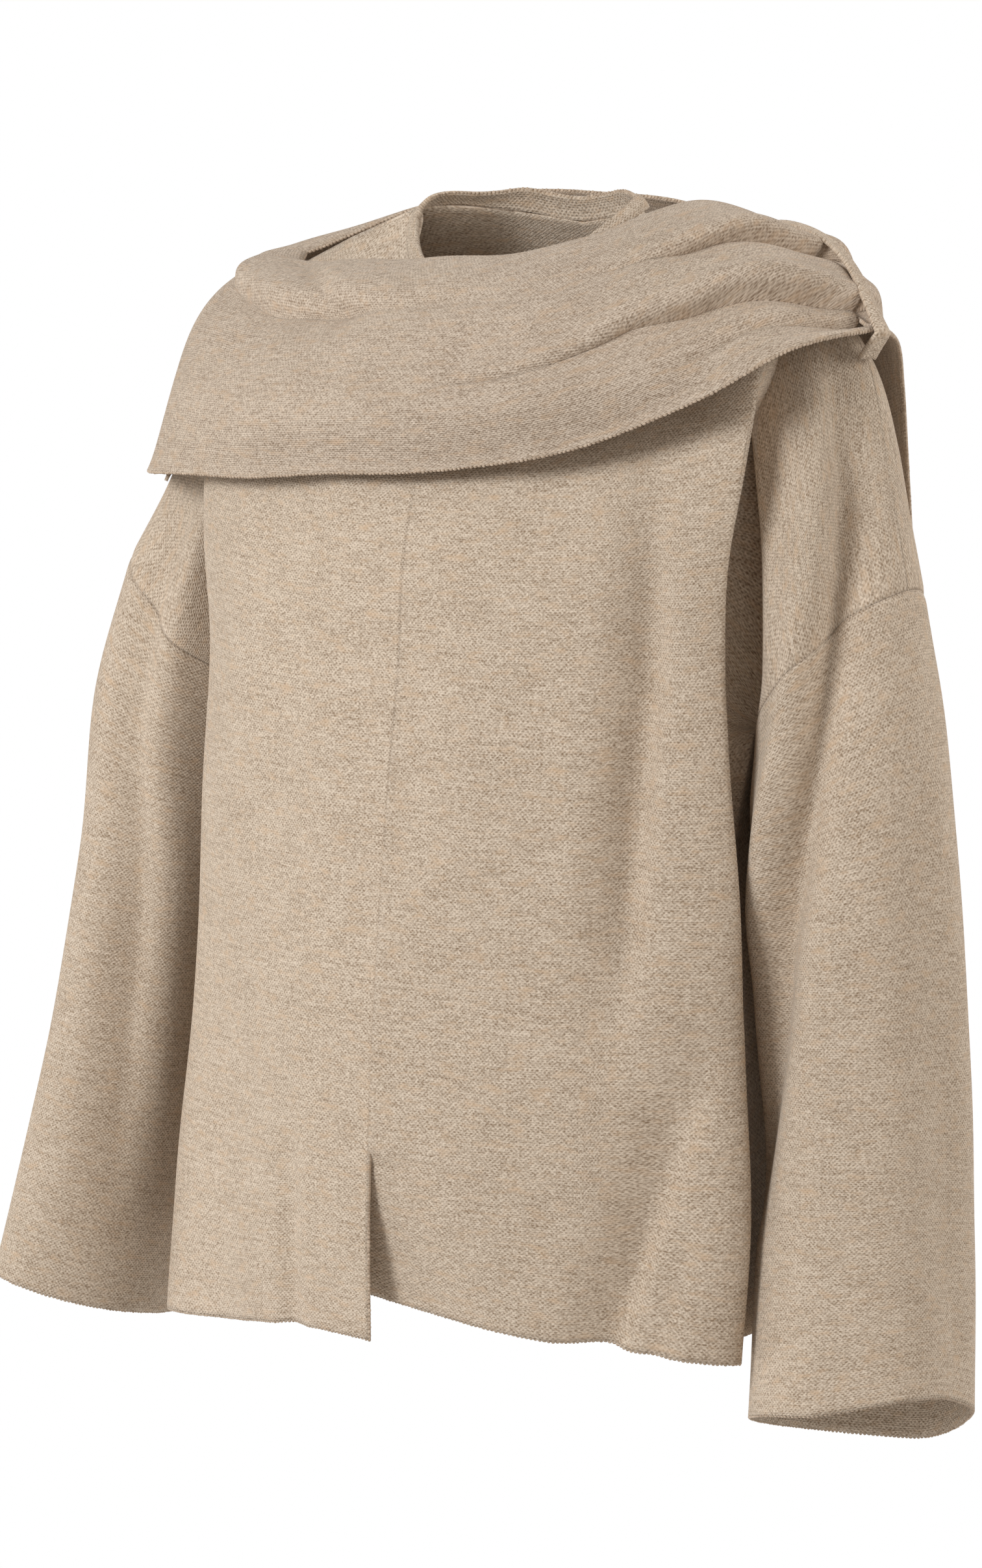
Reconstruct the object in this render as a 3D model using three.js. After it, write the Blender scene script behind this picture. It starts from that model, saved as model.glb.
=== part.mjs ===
// A loose knitted pullover with a wide scarf round the shoulders, as it hangs when worn.
// Millimetres, +Z up. The garment faces -Y and the wearer's left is +X. The origin is the middle of the
// neck opening at the height of the shoulder seams' neck ends, where the shoulders carry the garment.
import * as THREE from "three";

// Driving sizes
const WALL = 2.4; // heavy double knit
const SEAM_GAP = 0.3; // clearance that keeps two sewn pieces apart
const SLEEVE_GAP = 0.5; // clearance at the sleeves' seams on the outside of the arm, where folds cross them
const UNDERARM_GAP = 1.7; // the same under the arm, where the cloth bunches
const STRAP_GAP = 0.75; // clearance under a strap, between its mesh columns
const TAIL_GAP = 0.6; // clearance where the scarf's tail meets its front under the strap
const TROUGH_ANGLE = THREE.MathUtils.degToRad(152); // where the armhole ring passes the armpit fold
const COLUMNS_PER_STEP = 3; // mesh columns between two named points of a body section
const SHOULDER_START = 2 * COLUMNS_PER_STEP; // column where the shoulder seam starts at the neck
const SHOULDER_ROWS = 11; // mesh rows from the shoulder line to the underarm
const SKIRT_ROWS = 12; // mesh rows from the underarm to the hem
const ARM_COLUMNS = 12; // mesh columns from the armpit fold to the outer line of the arm
const SIDE_COLUMNS = 3; // mesh columns from the armpit fold's line to the side seam

const BEIGE = 0xb9a68e;
const SCARF_BEIGE = 0xb09c86;

// The neckline and shoulder seam, from the centre line outwards, for the front and for the back.
const NECK_AND_SHOULDER = [
  { x: 0, frontY: -66, frontZ: -62, backY: 62, backZ: -14 },
  { x: 44, frontY: -56, frontZ: -44, backY: 50, backZ: -8 },
  { x: 76, frontY: -2, frontZ: -6, backY: -2, backZ: -6 },
  { x: 122, frontY: 0, frontZ: -24, backY: 0, backZ: -24 },
  { x: 166, frontY: 2, frontZ: -44, backY: 2, backZ: -44 },
  { x: 176, frontY: 2, frontZ: -50, backY: 2, backZ: -50 },
];

// Sections of the front, from under the neck to the hem: their height at the centre and at the side, and the
// depth of the cloth at the distances in SECTION_SPREAD. The last four rows hang below the underarm.
const SECTION_SPREAD = [0, 45, 80, 126];
const FRONT_DEPTHS = [
  { centreZ: -92, sideZ: -62, centre: -76, neck: -72, chest: -52, pocket: -46 },
  { centreZ: -118, sideZ: -98, centre: -97, neck: -95, chest: -86, pocket: -78 },
  { centreZ: -152, sideZ: -140, centre: -124, neck: -122, chest: -112, pocket: -100 },
  { centreZ: -200, sideZ: -192, centre: -138, neck: -136, chest: -128, pocket: -113 },
  { centreZ: -248, sideZ: -244, centre: -142, neck: -141, chest: -134, pocket: -118 },
  { centreZ: -289, sideZ: -289, centre: -149, neck: -147, chest: -138, pocket: -121 },
  { centreZ: -380, sideZ: -382, centre: -162, neck: -159, chest: -148, pocket: -127 },
  { centreZ: -470, sideZ: -474, centre: -172, neck: -168, chest: -156, pocket: -132 },
  { centreZ: -560, sideZ: -568, centre: -178, neck: -173, chest: -160, pocket: -136 },
  { centreZ: -630, sideZ: -654, centre: -178, neck: -172, chest: -160, pocket: -136 },
];
// The same sections beside the arm: the fold's edge on each side and its depth, and the fold's bottom.
const FRONT_ARMPIT_FOLD = [
  { left: 166, right: 166, edge: -38, trough: 173, troughY: -10 },
  { left: 172, right: 171, edge: -60, trough: 172, troughY: -16 },
  { left: 175, right: 172, edge: -74, trough: 171, troughY: -20 },
  { left: 173, right: 171, edge: -76, trough: 170, troughY: -22 },
  { left: 172, right: 168, edge: -74, trough: 169, troughY: -24 },
  { left: 174, right: 170, edge: -72, trough: 168, troughY: -40 },
  { left: 181, right: 178, edge: -72, trough: 157, troughY: -47 },
  { left: 183, right: 188, edge: -75, trough: 160, troughY: -46 },
  { left: 190, right: 200, edge: -79, trough: 162, troughY: -46 },
  { left: 186, right: 208, edge: -80, trough: 162, troughY: -46 },
];

// The back, named in the same way.
const BACK_DEPTHS = [
  { centreZ: -40, sideZ: -72, centre: 84, neck: 80, chest: 66, pocket: 50 },
  { centreZ: -82, sideZ: -104, centre: 98, neck: 95, chest: 86, pocket: 74 },
  { centreZ: -130, sideZ: -142, centre: 106, neck: 104, chest: 96, pocket: 84 },
  { centreZ: -190, sideZ: -192, centre: 108, neck: 106, chest: 99, pocket: 87 },
  { centreZ: -244, sideZ: -244, centre: 107, neck: 105, chest: 98, pocket: 86 },
  { centreZ: -289, sideZ: -289, centre: 106, neck: 104, chest: 97, pocket: 84 },
  { centreZ: -380, sideZ: -382, centre: 108, neck: 106, chest: 99, pocket: 86 },
  { centreZ: -470, sideZ: -474, centre: 114, neck: 112, chest: 104, pocket: 90 },
  { centreZ: -560, sideZ: -568, centre: 120, neck: 118, chest: 110, pocket: 95 },
  { centreZ: -642, sideZ: -656, centre: 124, neck: 122, chest: 113, pocket: 98 },
];
const BACK_ARMPIT_FOLD = [
  { left: 164, right: 164, edge: 34, trough: 173, troughY: 14 },
  { left: 167, right: 167, edge: 50, trough: 172, troughY: 20 },
  { left: 169, right: 169, edge: 58, trough: 171, troughY: 24 },
  { left: 169, right: 169, edge: 60, trough: 170, troughY: 26 },
  { left: 169, right: 169, edge: 58, trough: 169, troughY: 28 },
  { left: 170, right: 170, edge: 56, trough: 168, troughY: 30 },
  { left: 178, right: 178, edge: 62, trough: 160, troughY: 40 },
  { left: 184, right: 188, edge: 68, trough: 162, troughY: 44 },
  { left: 188, right: 197, edge: 72, trough: 168, troughY: 46 },
  { left: 186, right: 204, edge: 76, trough: 168, troughY: 48 },
];
const withFold = (depths, fold) => depths.map((row, index) => ({ ...row, ...fold[index] }));
const FRONT_SECTIONS = withFold(FRONT_DEPTHS, FRONT_ARMPIT_FOLD);
const BACK_SECTIONS = withFold(BACK_DEPTHS, BACK_ARMPIT_FOLD);
// How the hem's height differs from the tables: at the centre and at the side, on each half.
const FRONT_HEM_LIFT = { left: { centre: 17, side: 14 }, right: { centre: 0, side: -18 } };
const BACK_HEM_LIFT = { left: { centre: 0, side: 10 }, right: { centre: 0, side: -16 } };
// The slit at the foot of the centre front seam: the left half's free edge lies under the right half's.
const SLIT_TOP = -528;
const SLIT_UNDERLAP = 30;
const SLIT_SETBACK = 26;
const SLIT_SPREAD = 95; // how far from the edge the cloth curves in
const UNDERARM_ROW = 6; // place of the underarm's section in both tables, counted from the top line
const ARMPIT_ROW = 3; // section from which a panel's edge leans over to the sleeve's underarm
const ARMPIT_RELEASE = 3; // how fast it leaves that point below the underarm, in shares per section
const SECTION_SAG = 2.5; // above 1 a section keeps its centre's height further out
const SLIT_CURL = 2.5; // above 1 the free edge swings under only near the hem
const ARMPIT_BLEND = 0.45; // share of the cloth over the arm that follows the armpit fold

// Soft folds of the front, from their upper end to their lower end.
const FRONT_FOLDS = [
  { side: 1, fromX: 150, fromZ: -190, toX: 142, toZ: -410, depth: 4, width: 15 },
  { side: 1, fromX: 176, fromZ: -480, toX: 132, toZ: -690, depth: 7, width: 13 },
  { side: -1, fromX: 62, fromZ: -500, toX: 58, toZ: -720, depth: 4, width: 11 },
];

// The side seam below the underarm, with its distance from the middle on each side.
const SIDE_SEAM = [
  { left: 162, right: 174, y: -5, z: -291 },
  { left: 153, right: 170, y: -2, z: -345 },
  { left: 158, right: 176, y: 0, z: -412 },
  { left: 162, right: 186, y: 2, z: -490 },
  { left: 163, right: 194, y: 2, z: -575 },
  { left: 162, right: 200, y: 2, z: -656 },
];
const SIDE_DROP = { left: 10, right: -16 }; // how the hem's ends differ from that height

// The part of each body panel that lies over the upper arm, from the shoulder point to the sleeve's seam:
// the ring's middle, how far its outer point stands out and up, and how far its front stands forward and up.
const LEFT_ARM_RINGS = [
  { x: 150, y: 2, z: -94, out: 46, up: 40, deep: 32, rise: 6 },
  { x: 168, y: 0, z: -132, out: 49, up: 44, deep: 46, rise: 3 },
  { x: 182, y: -2, z: -172, out: 46, up: 45, deep: 57, rise: 0 },
  { x: 193, y: -4, z: -212, out: 43, up: 44, deep: 63, rise: 0 },
  { x: 203, y: -5, z: -250, out: 41, up: 42, deep: 67, rise: 0 },
];
const RIGHT_ARM_RINGS = [
  { x: 150, y: 2, z: -94, out: 40, up: 38, deep: 30, rise: 6 },
  { x: 168, y: 0, z: -132, out: 39, up: 42, deep: 44, rise: 3 },
  { x: 183, y: -2, z: -172, out: 39, up: 44, deep: 55, rise: 0 },
  { x: 198, y: -4, z: -212, out: 40, up: 44, deep: 63, rise: 0 },
  { x: 218, y: -5, z: -250, out: 44, up: 40, deep: 69, rise: 0 },
];

// The sleeves below that seam, described in the same way. The last row is the cuff's edge.
const LEFT_SLEEVE = [
  { x: 203, y: -5, z: -250, out: 41, up: 42, deep: 67, rise: 0 },
  { x: 211, y: -7, z: -318, out: 50, up: 30, deep: 70, rise: 2 },
  { x: 220, y: -8, z: -400, out: 53, up: 12, deep: 71, rise: 6 },
  { x: 226, y: -8, z: -490, out: 54, up: 3, deep: 72, rise: 10 },
  { x: 229, y: -12, z: -580, out: 57, up: 4, deep: 74, rise: 14 },
  { x: 231, y: -20, z: -676, out: 61, up: 8, deep: 76, rise: 18 },
];
const RIGHT_SLEEVE = [
  { x: 218, y: -5, z: -250, out: 44, up: 40, deep: 69, rise: 0 },
  { x: 235, y: -9, z: -316, out: 50, up: 24, deep: 73, rise: 2 },
  { x: 244, y: -14, z: -400, out: 48, up: 10, deep: 74, rise: 6 },
  { x: 256, y: -26, z: -490, out: 45, up: 6, deep: 75, rise: 10 },
  { x: 272, y: -38, z: -582, out: 45, up: 8, deep: 76, rise: 14 },
  { x: 290, y: -50, z: -675, out: 46, up: 10, deep: 78, rise: 16 },
];
const SLEEVE_RINGS = 17; // mesh rows along a sleeve

// Long folds of the sleeves: where on the ring they run, in degrees from the outer point forwards. Their
// ends are 0 at the shoulder point, 1 at the sleeve's seam and 2 at the cuff.
const FOLD_TURN = 1.3; // above 1 a fold turns round the arm more in its lower part
const FOLD_FADE = 0.7; // below 1 a fold keeps its depth nearer to its ends
const RING_STEP = 0.05; // step for taking directions along the arm, in rings
const ANGLE_STEP = 0.02; // the same round it, in radians
const LEFT_ARM_FOLDS = [
  { from: 0.3, to: 1.75, startAngle: 14, endAngle: 140, depth: 11, width: 19 },
];
const RIGHT_ARM_FOLDS = [
  { from: 0.45, to: 1.8, startAngle: 70, endAngle: 138, depth: 10, width: 16 },
];

// The scarf's course from the right shoulder across the front to the left shoulder: its lower and upper edge,
// how far the cloth between them stands out from the straight line, and the part of the width where it does
// so most.
const SCARF_FRONT = [
  { lowX: -247, lowY: 0, lowZ: -166, highX: -160, highY: 8, highZ: -36, bulge: 38, crest: 0.66 },
  { lowX: -231, lowY: -52, lowZ: -163, highX: -144, highY: -18, highZ: -40, bulge: 37, crest: 0.66 },
  { lowX: -195, lowY: -99, lowZ: -158, highX: -112, highY: -40, highZ: -38, bulge: 29, crest: 0.62 },
  { lowX: -130, lowY: -134, lowZ: -152, highX: -66, highY: -66, highZ: -35, bulge: 20, crest: 0.61 },
  { lowX: -58, lowY: -151, lowZ: -146, highX: -14, highY: -84, highZ: -32, bulge: 18, crest: 0.61 },
  { lowX: 22, lowY: -154, lowZ: -139, highX: 42, highY: -90, highZ: -28, bulge: 17, crest: 0.61 },
  { lowX: 100, lowY: -142, lowZ: -125, highX: 86, highY: -80, highZ: -17, bulge: 17, crest: 0.61 },
  { lowX: 162, lowY: -116, lowZ: -104, highX: 110, highY: -56, highZ: -6, bulge: 17, crest: 0.61 },
  { lowX: 204, lowY: -78, lowZ: -84, highX: 126, highY: -22, highZ: -4, bulge: 16, crest: 0.61 },
  { lowX: 226, lowY: -13, lowZ: -68, highX: 142, highY: 18, highZ: -12, bulge: 14, crest: 0.61 },
];
const SCARF_ROUNDNESS = 0.75; // below 1 the scarf's cross-section is fuller towards its edges
const SCARF_FORWARD = 1.1; // above 1 the scarf stands out more to the front and back than to the sides
// Pleats of the scarf's front: their ends in rows of the table, and their place across the width.
const SCARF_PLEATS = [
  { from: 9.5, to: 5.6, acrossFrom: 0.73, acrossTo: 0.84, depth: 7, width: 0.05 },
  { from: 9.5, to: 3.8, acrossFrom: 0.34, acrossTo: 0.45, depth: 9, width: 0.055 },
  { from: 0.3, to: 4.2, acrossFrom: 0.8, acrossTo: 0.6, depth: 7, width: 0.05 },
];

const PLEAT_START = 0.12; // share of a pleat's length over which it deepens
const PLEAT_END = 0.35; // share of its length after which it fades out

// The scarf behind the neck, from the right shoulder round to the left, in the same columns.
const SCARF_BACK = [
  { lowX: -247, lowY: 0.4, lowZ: -166, highX: -160, highY: 8.4, highZ: -36, bulge: 38, crest: 0.66 },
  { lowX: -226, lowY: 54, lowZ: -168, highX: -142, highY: 38, highZ: -24, bulge: 37, crest: 0.63 },
  { lowX: -186, lowY: 96, lowZ: -174, highX: -108, highY: 66, highZ: -8, bulge: 27, crest: 0.62 },
  { lowX: -110, lowY: 126, lowZ: -174, highX: -56, highY: 84, highZ: 0, bulge: 18, crest: 0.61 },
  { lowX: -10, lowY: 134, lowZ: -158, highX: 0, highY: 90, highZ: 0, bulge: 15, crest: 0.61 },
  { lowX: 82, lowY: 124, lowZ: -126, highX: 56, highY: 82, highZ: -4, bulge: 14, crest: 0.61 },
  { lowX: 146, lowY: 92, lowZ: -96, highX: 92, highY: 58, highZ: -12, bulge: 11, crest: 0.61 },
  { lowX: 180, lowY: 50, lowZ: -74, highX: 114, highY: 28, highZ: -22, bulge: 8, crest: 0.61 },
];

// The scarf's loose end, from the left strap down the back of the shoulder, in the same columns. Its first
// row is the front stretch's last.
const SCARF_TAIL = [
  SCARF_FRONT.at(-1),
  { lowX: 219, lowY: 26, lowZ: -76, highX: 140, highY: 56, highZ: -18, bulge: 14, crest: 0.61 },
  { lowX: 208, lowY: 58, lowZ: -104, highX: 130, highY: 98, highZ: -56, bulge: 12, crest: 0.61 },
  { lowX: 203, lowY: 76, lowZ: -146, highX: 122, highY: 122, highZ: -112, bulge: 10, crest: 0.61 },
  { lowX: 203, lowY: 84, lowZ: -192, highX: 118, highY: 129, highZ: -178, bulge: 9, crest: 0.61 },
  { lowX: 205, lowY: 88, lowZ: -242, highX: 116, highY: 131, highZ: -250, bulge: 8, crest: 0.61 },
];

// The three stretches: mesh columns along the scarf, bands across it, and the column under the left strap.
const SCARF_STRETCHES = {
  front: { rows: SCARF_FRONT, columns: 36, bands: 11, pleats: SCARF_PLEATS, strapEnd: 36, flip: false },
  back: { rows: SCARF_BACK, columns: 26, bands: 7, pleats: [], strapEnd: null, flip: true },
  tail: { rows: SCARF_TAIL, columns: 18, bands: 8, pleats: [], strapEnd: 0, flip: false },
};

// The neckband's ring.
const NECKBAND_HEIGHT = 13;
const NECKBAND_WALL = 2.8;
const NECKBAND_INSET = 6.4; // from the panels' neckline to the band's outer face
const NECKBAND_RISE = 1;
const NECKBAND_LEAN = 4; // how far the band's top leans to the neck
const NECKBAND_SIDES = 36;

// The left strap lies over the scarf where its two stretches meet. At both ends it turns in past the scarf's
// edge and is sewn to the shoulder.
const STRAP_WIDTH = 18;
const LEFT_STRAP_FROM = 1.035; // across the scarf's width, just past its upper edge
const LEFT_STRAP_TO = -0.035; // just past its lower edge
const LEFT_STRAP_TURN = 2 / 12; // share of its length in each turned end
const LEFT_STRAP_TOP = { x: 128, y: 14, z: -24 };
const LEFT_STRAP_FOOT = { x: 219.2, y: -6, z: -88 };
// The right strap lies on the arm's cloth under the scarf, and its sewn end shows below the scarf's edge.
const RIGHT_STRAP_FROM = 0.2; // along the arm's rings
const RIGHT_STRAP_TO = 0.72;
const RIGHT_STRAP_ANGLE = THREE.MathUtils.degToRad(26);
const STRAP_COLUMNS = 12;
const STRAP_WALL = 2.2;
const RIGHT_STRAP_TILT = 0.35; // how much its stand-off direction leans upwards
const STRAP_STEP = 0.05; // step for taking directions on the scarf, in rows or widths
const STRAP_REACH = 90; // length of one full step past the scarf's edge

const smoothstep = (value) => THREE.MathUtils.smoothstep(value, 0, 1);

// One value of a table's column, smooth between the rows. at runs from 0 to the last row.
function between(rows, column, at) {
  const last = rows.length - 1;
  const place = THREE.MathUtils.clamp(at, 0, last);
  const row = Math.min(Math.floor(place), last - 1);
  const value = (index) => rows[THREE.MathUtils.clamp(index, 0, last)][column];
  const t = place - row;
  const before = row === 0 ? 2 * value(0) - value(1) : value(row - 1);
  const after = row === last - 1 ? 2 * value(last) - value(last - 1) : value(row + 2);
  const slopeIn = (value(row + 1) - before) / 2;
  const slopeOut = (after - value(row)) / 2;
  const rise = value(row + 1) - value(row);
  return value(row) + slopeIn * t + (3 * rise - 2 * slopeIn - slopeOut) * t * t +
    (slopeIn + slopeOut - 2 * rise) * t * t * t;
}

// A cloth surface under construction: points that several patches may share, and four-sided cells.
class Cloth {
  constructor() {
    this.points = [];
    this.cells = [];
    this.seamAxes = new Map(); // point number to the axis that the wall must not lean along there
    this.seamNormals = new Map(); // point number to the outward direction shared with the next piece
  }

  add(point) {
    this.points.push(point);
    return this.points.length - 1;
  }

  // Joins two neighbouring lines of point numbers with cells.
  weave(lineA, lineB) {
    for (let i = 0; i < lineA.length - 1; i++) {
      this.cells.push([lineA[i], lineB[i], lineB[i + 1], lineA[i + 1]]);
    }
  }

  // Gives the surface its wall. The points are the outer face, and the inner face lies a wall below it.
  solid(name, colour, wall) {
    const normals = this.points.map(() => new THREE.Vector3());
    for (const cell of this.cells) {
      const [a, b, c, d] = cell.map((index) => this.points[index]);
      const normal = new THREE.Vector3().subVectors(c, a).cross(new THREE.Vector3().subVectors(d, b));
      cell.forEach((index) => normals[index].add(normal));
    }
    for (const [index, axis] of this.seamAxes) normals[index][axis] = 0;
    for (const [index, normal] of this.seamNormals) normals[index].copy(normal);
    const position = [];
    this.points.forEach((point) => position.push(point.x, point.y, point.z));
    this.points.forEach((point, index) => {
      const inner = point.clone().addScaledVector(normals[index].normalize(), -wall);
      position.push(inner.x, inner.y, inner.z);
    });
    const count = this.points.length;
    const faces = [];
    const edges = new Map();
    for (const [a, b, c, d] of this.cells) {
      faces.push(a, b, c, a, c, d);
      faces.push(a + count, c + count, b + count, a + count, d + count, c + count);
      for (const [from, to] of [[a, b], [b, c], [c, d], [d, a]]) {
        const back = `${to}-${from}`;
        if (edges.has(back)) edges.delete(back);
        else edges.set(`${from}-${to}`, [from, to]);
      }
    }
    for (const [from, to] of edges.values()) {
      faces.push(to, from, from + count, to, from + count, to + count);
    }
    const geometry = new THREE.BufferGeometry();
    geometry.setAttribute("position", new THREE.Float32BufferAttribute(position, 3));
    geometry.setIndex(faces);
    geometry.computeVertexNormals();
    const material = new THREE.MeshStandardMaterial({ color: colour, roughness: 0.95, metalness: 0 });
    const mesh = new THREE.Mesh(geometry, material);
    mesh.name = name;
    return mesh;
  }
}

// A point of the ring round the arm, for the left side. angle 0 is outside, a quarter turn is the front.
function armPoint(rings, at, angle) {
  const pick = (column) => between(rings, column, at);
  const out = Math.cos(angle);
  const front = Math.sin(angle);
  return new THREE.Vector3(
    pick("x") + pick("out") * out,
    pick("y") - pick("deep") * front,
    pick("z") + pick("up") * out + pick("rise") * front,
  );
}

// The outward direction at the sleeve's seam, which the sleeve and the panels share, for the left side.
function armholeNormal(sleeve, angle) {
  const round = armPoint(sleeve, 0, angle + ANGLE_STEP).sub(armPoint(sleeve, 0, angle - ANGLE_STEP));
  const down = armPoint(sleeve, RING_STEP, angle).sub(armPoint(sleeve, 0, angle));
  return round.cross(down).normalize();
}

// The angles of a sleeve's columns, which meet the panels' columns at the seam.
function sleeveAngles() {
  const half = [];
  for (let i = 0; i <= ARM_COLUMNS; i++) half.push((TROUGH_ANGLE * i) / ARM_COLUMNS);
  for (let i = 1; i <= SIDE_COLUMNS; i++) {
    half.push(THREE.MathUtils.lerp(TROUGH_ANGLE, Math.PI, i / SIDE_COLUMNS));
  }
  return [...half, ...half.slice(1, -1).reverse().map((angle) => -angle)];
}

// How far the front's soft folds press it in.
function frontFoldDepth(side, x, z) {
  let depth = 0;
  for (const fold of FRONT_FOLDS) {
    const part = (z - fold.fromZ) / (fold.toZ - fold.fromZ);
    if (fold.side !== side || part <= 0 || part >= 1) continue;
    const away = (x - THREE.MathUtils.lerp(fold.fromX, fold.toX, part)) / fold.width;
    depth += fold.depth * Math.sin(Math.PI * part) * Math.exp(-away * away);
  }
  return depth;
}

// How far the long folds press the arm's cloth in, at a place along the arm and round it.
function foldDepth(folds, along, angle) {
  let depth = 0;
  for (const fold of folds) {
    const part = (along - fold.from) / (fold.to - fold.from);
    if (part <= 0 || part >= 1) continue;
    const turned = THREE.MathUtils.lerp(fold.startAngle, fold.endAngle, part ** FOLD_TURN);
    const middle = THREE.MathUtils.degToRad(turned);
    const spread = THREE.MathUtils.degToRad(fold.width);
    const away = Math.atan2(Math.sin(angle - middle), Math.cos(angle - middle)) / spread;
    const fade = Math.sin(Math.PI * Math.sqrt(part)) ** FOLD_FADE;
    depth += fold.depth * fade * Math.exp(-away * away);
  }
  return depth;
}

// The point pressed towards the middle of its ring by the folds.
function creased(rings, at, angle, folds, along) {
  const point = armPoint(rings, at, angle);
  const middle = new THREE.Vector3(between(rings, "x", at), between(rings, "y", at), point.z);
  const inwards = middle.sub(point).normalize();
  return point.addScaledVector(inwards, foldDepth(folds, along, angle));
}

// A section of a body panel from the centre line to the bottom of the armpit fold. row 0 is the top line.
function sectionCurve(sections, front, side, row) {
  const face = front ? "front" : "back";
  const top = NECK_AND_SHOULDER;
  const edgeColumn = side > 0 ? "left" : "right";
  const below = (column) => between(sections, column, row - 1);
  const names = ["centre", "neck", "chest", "pocket"];
  const skirt = Math.max(0, (row - UNDERARM_ROW) / (sections.length - UNDERARM_ROW));
  const lift = (front ? FRONT_HEM_LIFT : BACK_HEM_LIFT)[edgeColumn];
  const hanging = (index) => {
    const level = Math.min(1, index / 4) ** SECTION_SAG;
    const drop = THREE.MathUtils.lerp(lift.centre, lift.side, level) * skirt;
    const z = THREE.MathUtils.lerp(below("centreZ"), below("sideZ"), level) + drop;
    if (index < 4) return new THREE.Vector3(SECTION_SPREAD[index], below(names[index]), z);
    if (index === 4) return new THREE.Vector3(below(edgeColumn), below("edge"), z);
    const shift = row > UNDERARM_ROW ? below(edgeColumn) - below("left") : 0;
    return new THREE.Vector3(below("trough") + shift, below("troughY"), z);
  };
  const topPoint = (index) =>
    new THREE.Vector3(top[index].x, top[index][`${face}Y`], top[index][`${face}Z`]);
  const points = top.map((_, index) => {
    const hung = hanging(index);
    return row >= 1 ? hung : topPoint(index).lerp(hung, row);
  });
  return new THREE.CatmullRomCurve3(points, false, "centripetal");
}

// A point of the shoulder seam, straight between the named points.
function shoulderSeamPoint(step) {
  const index = Math.min(Math.floor(step), NECK_AND_SHOULDER.length - 2);
  const [from, to] = NECK_AND_SHOULDER.slice(index, index + 2);
  const mix = (column) => THREE.MathUtils.lerp(from[column], to[column], step - index);
  return new THREE.Vector3(mix("x"), mix("frontY"), mix("frontZ"));
}

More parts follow.
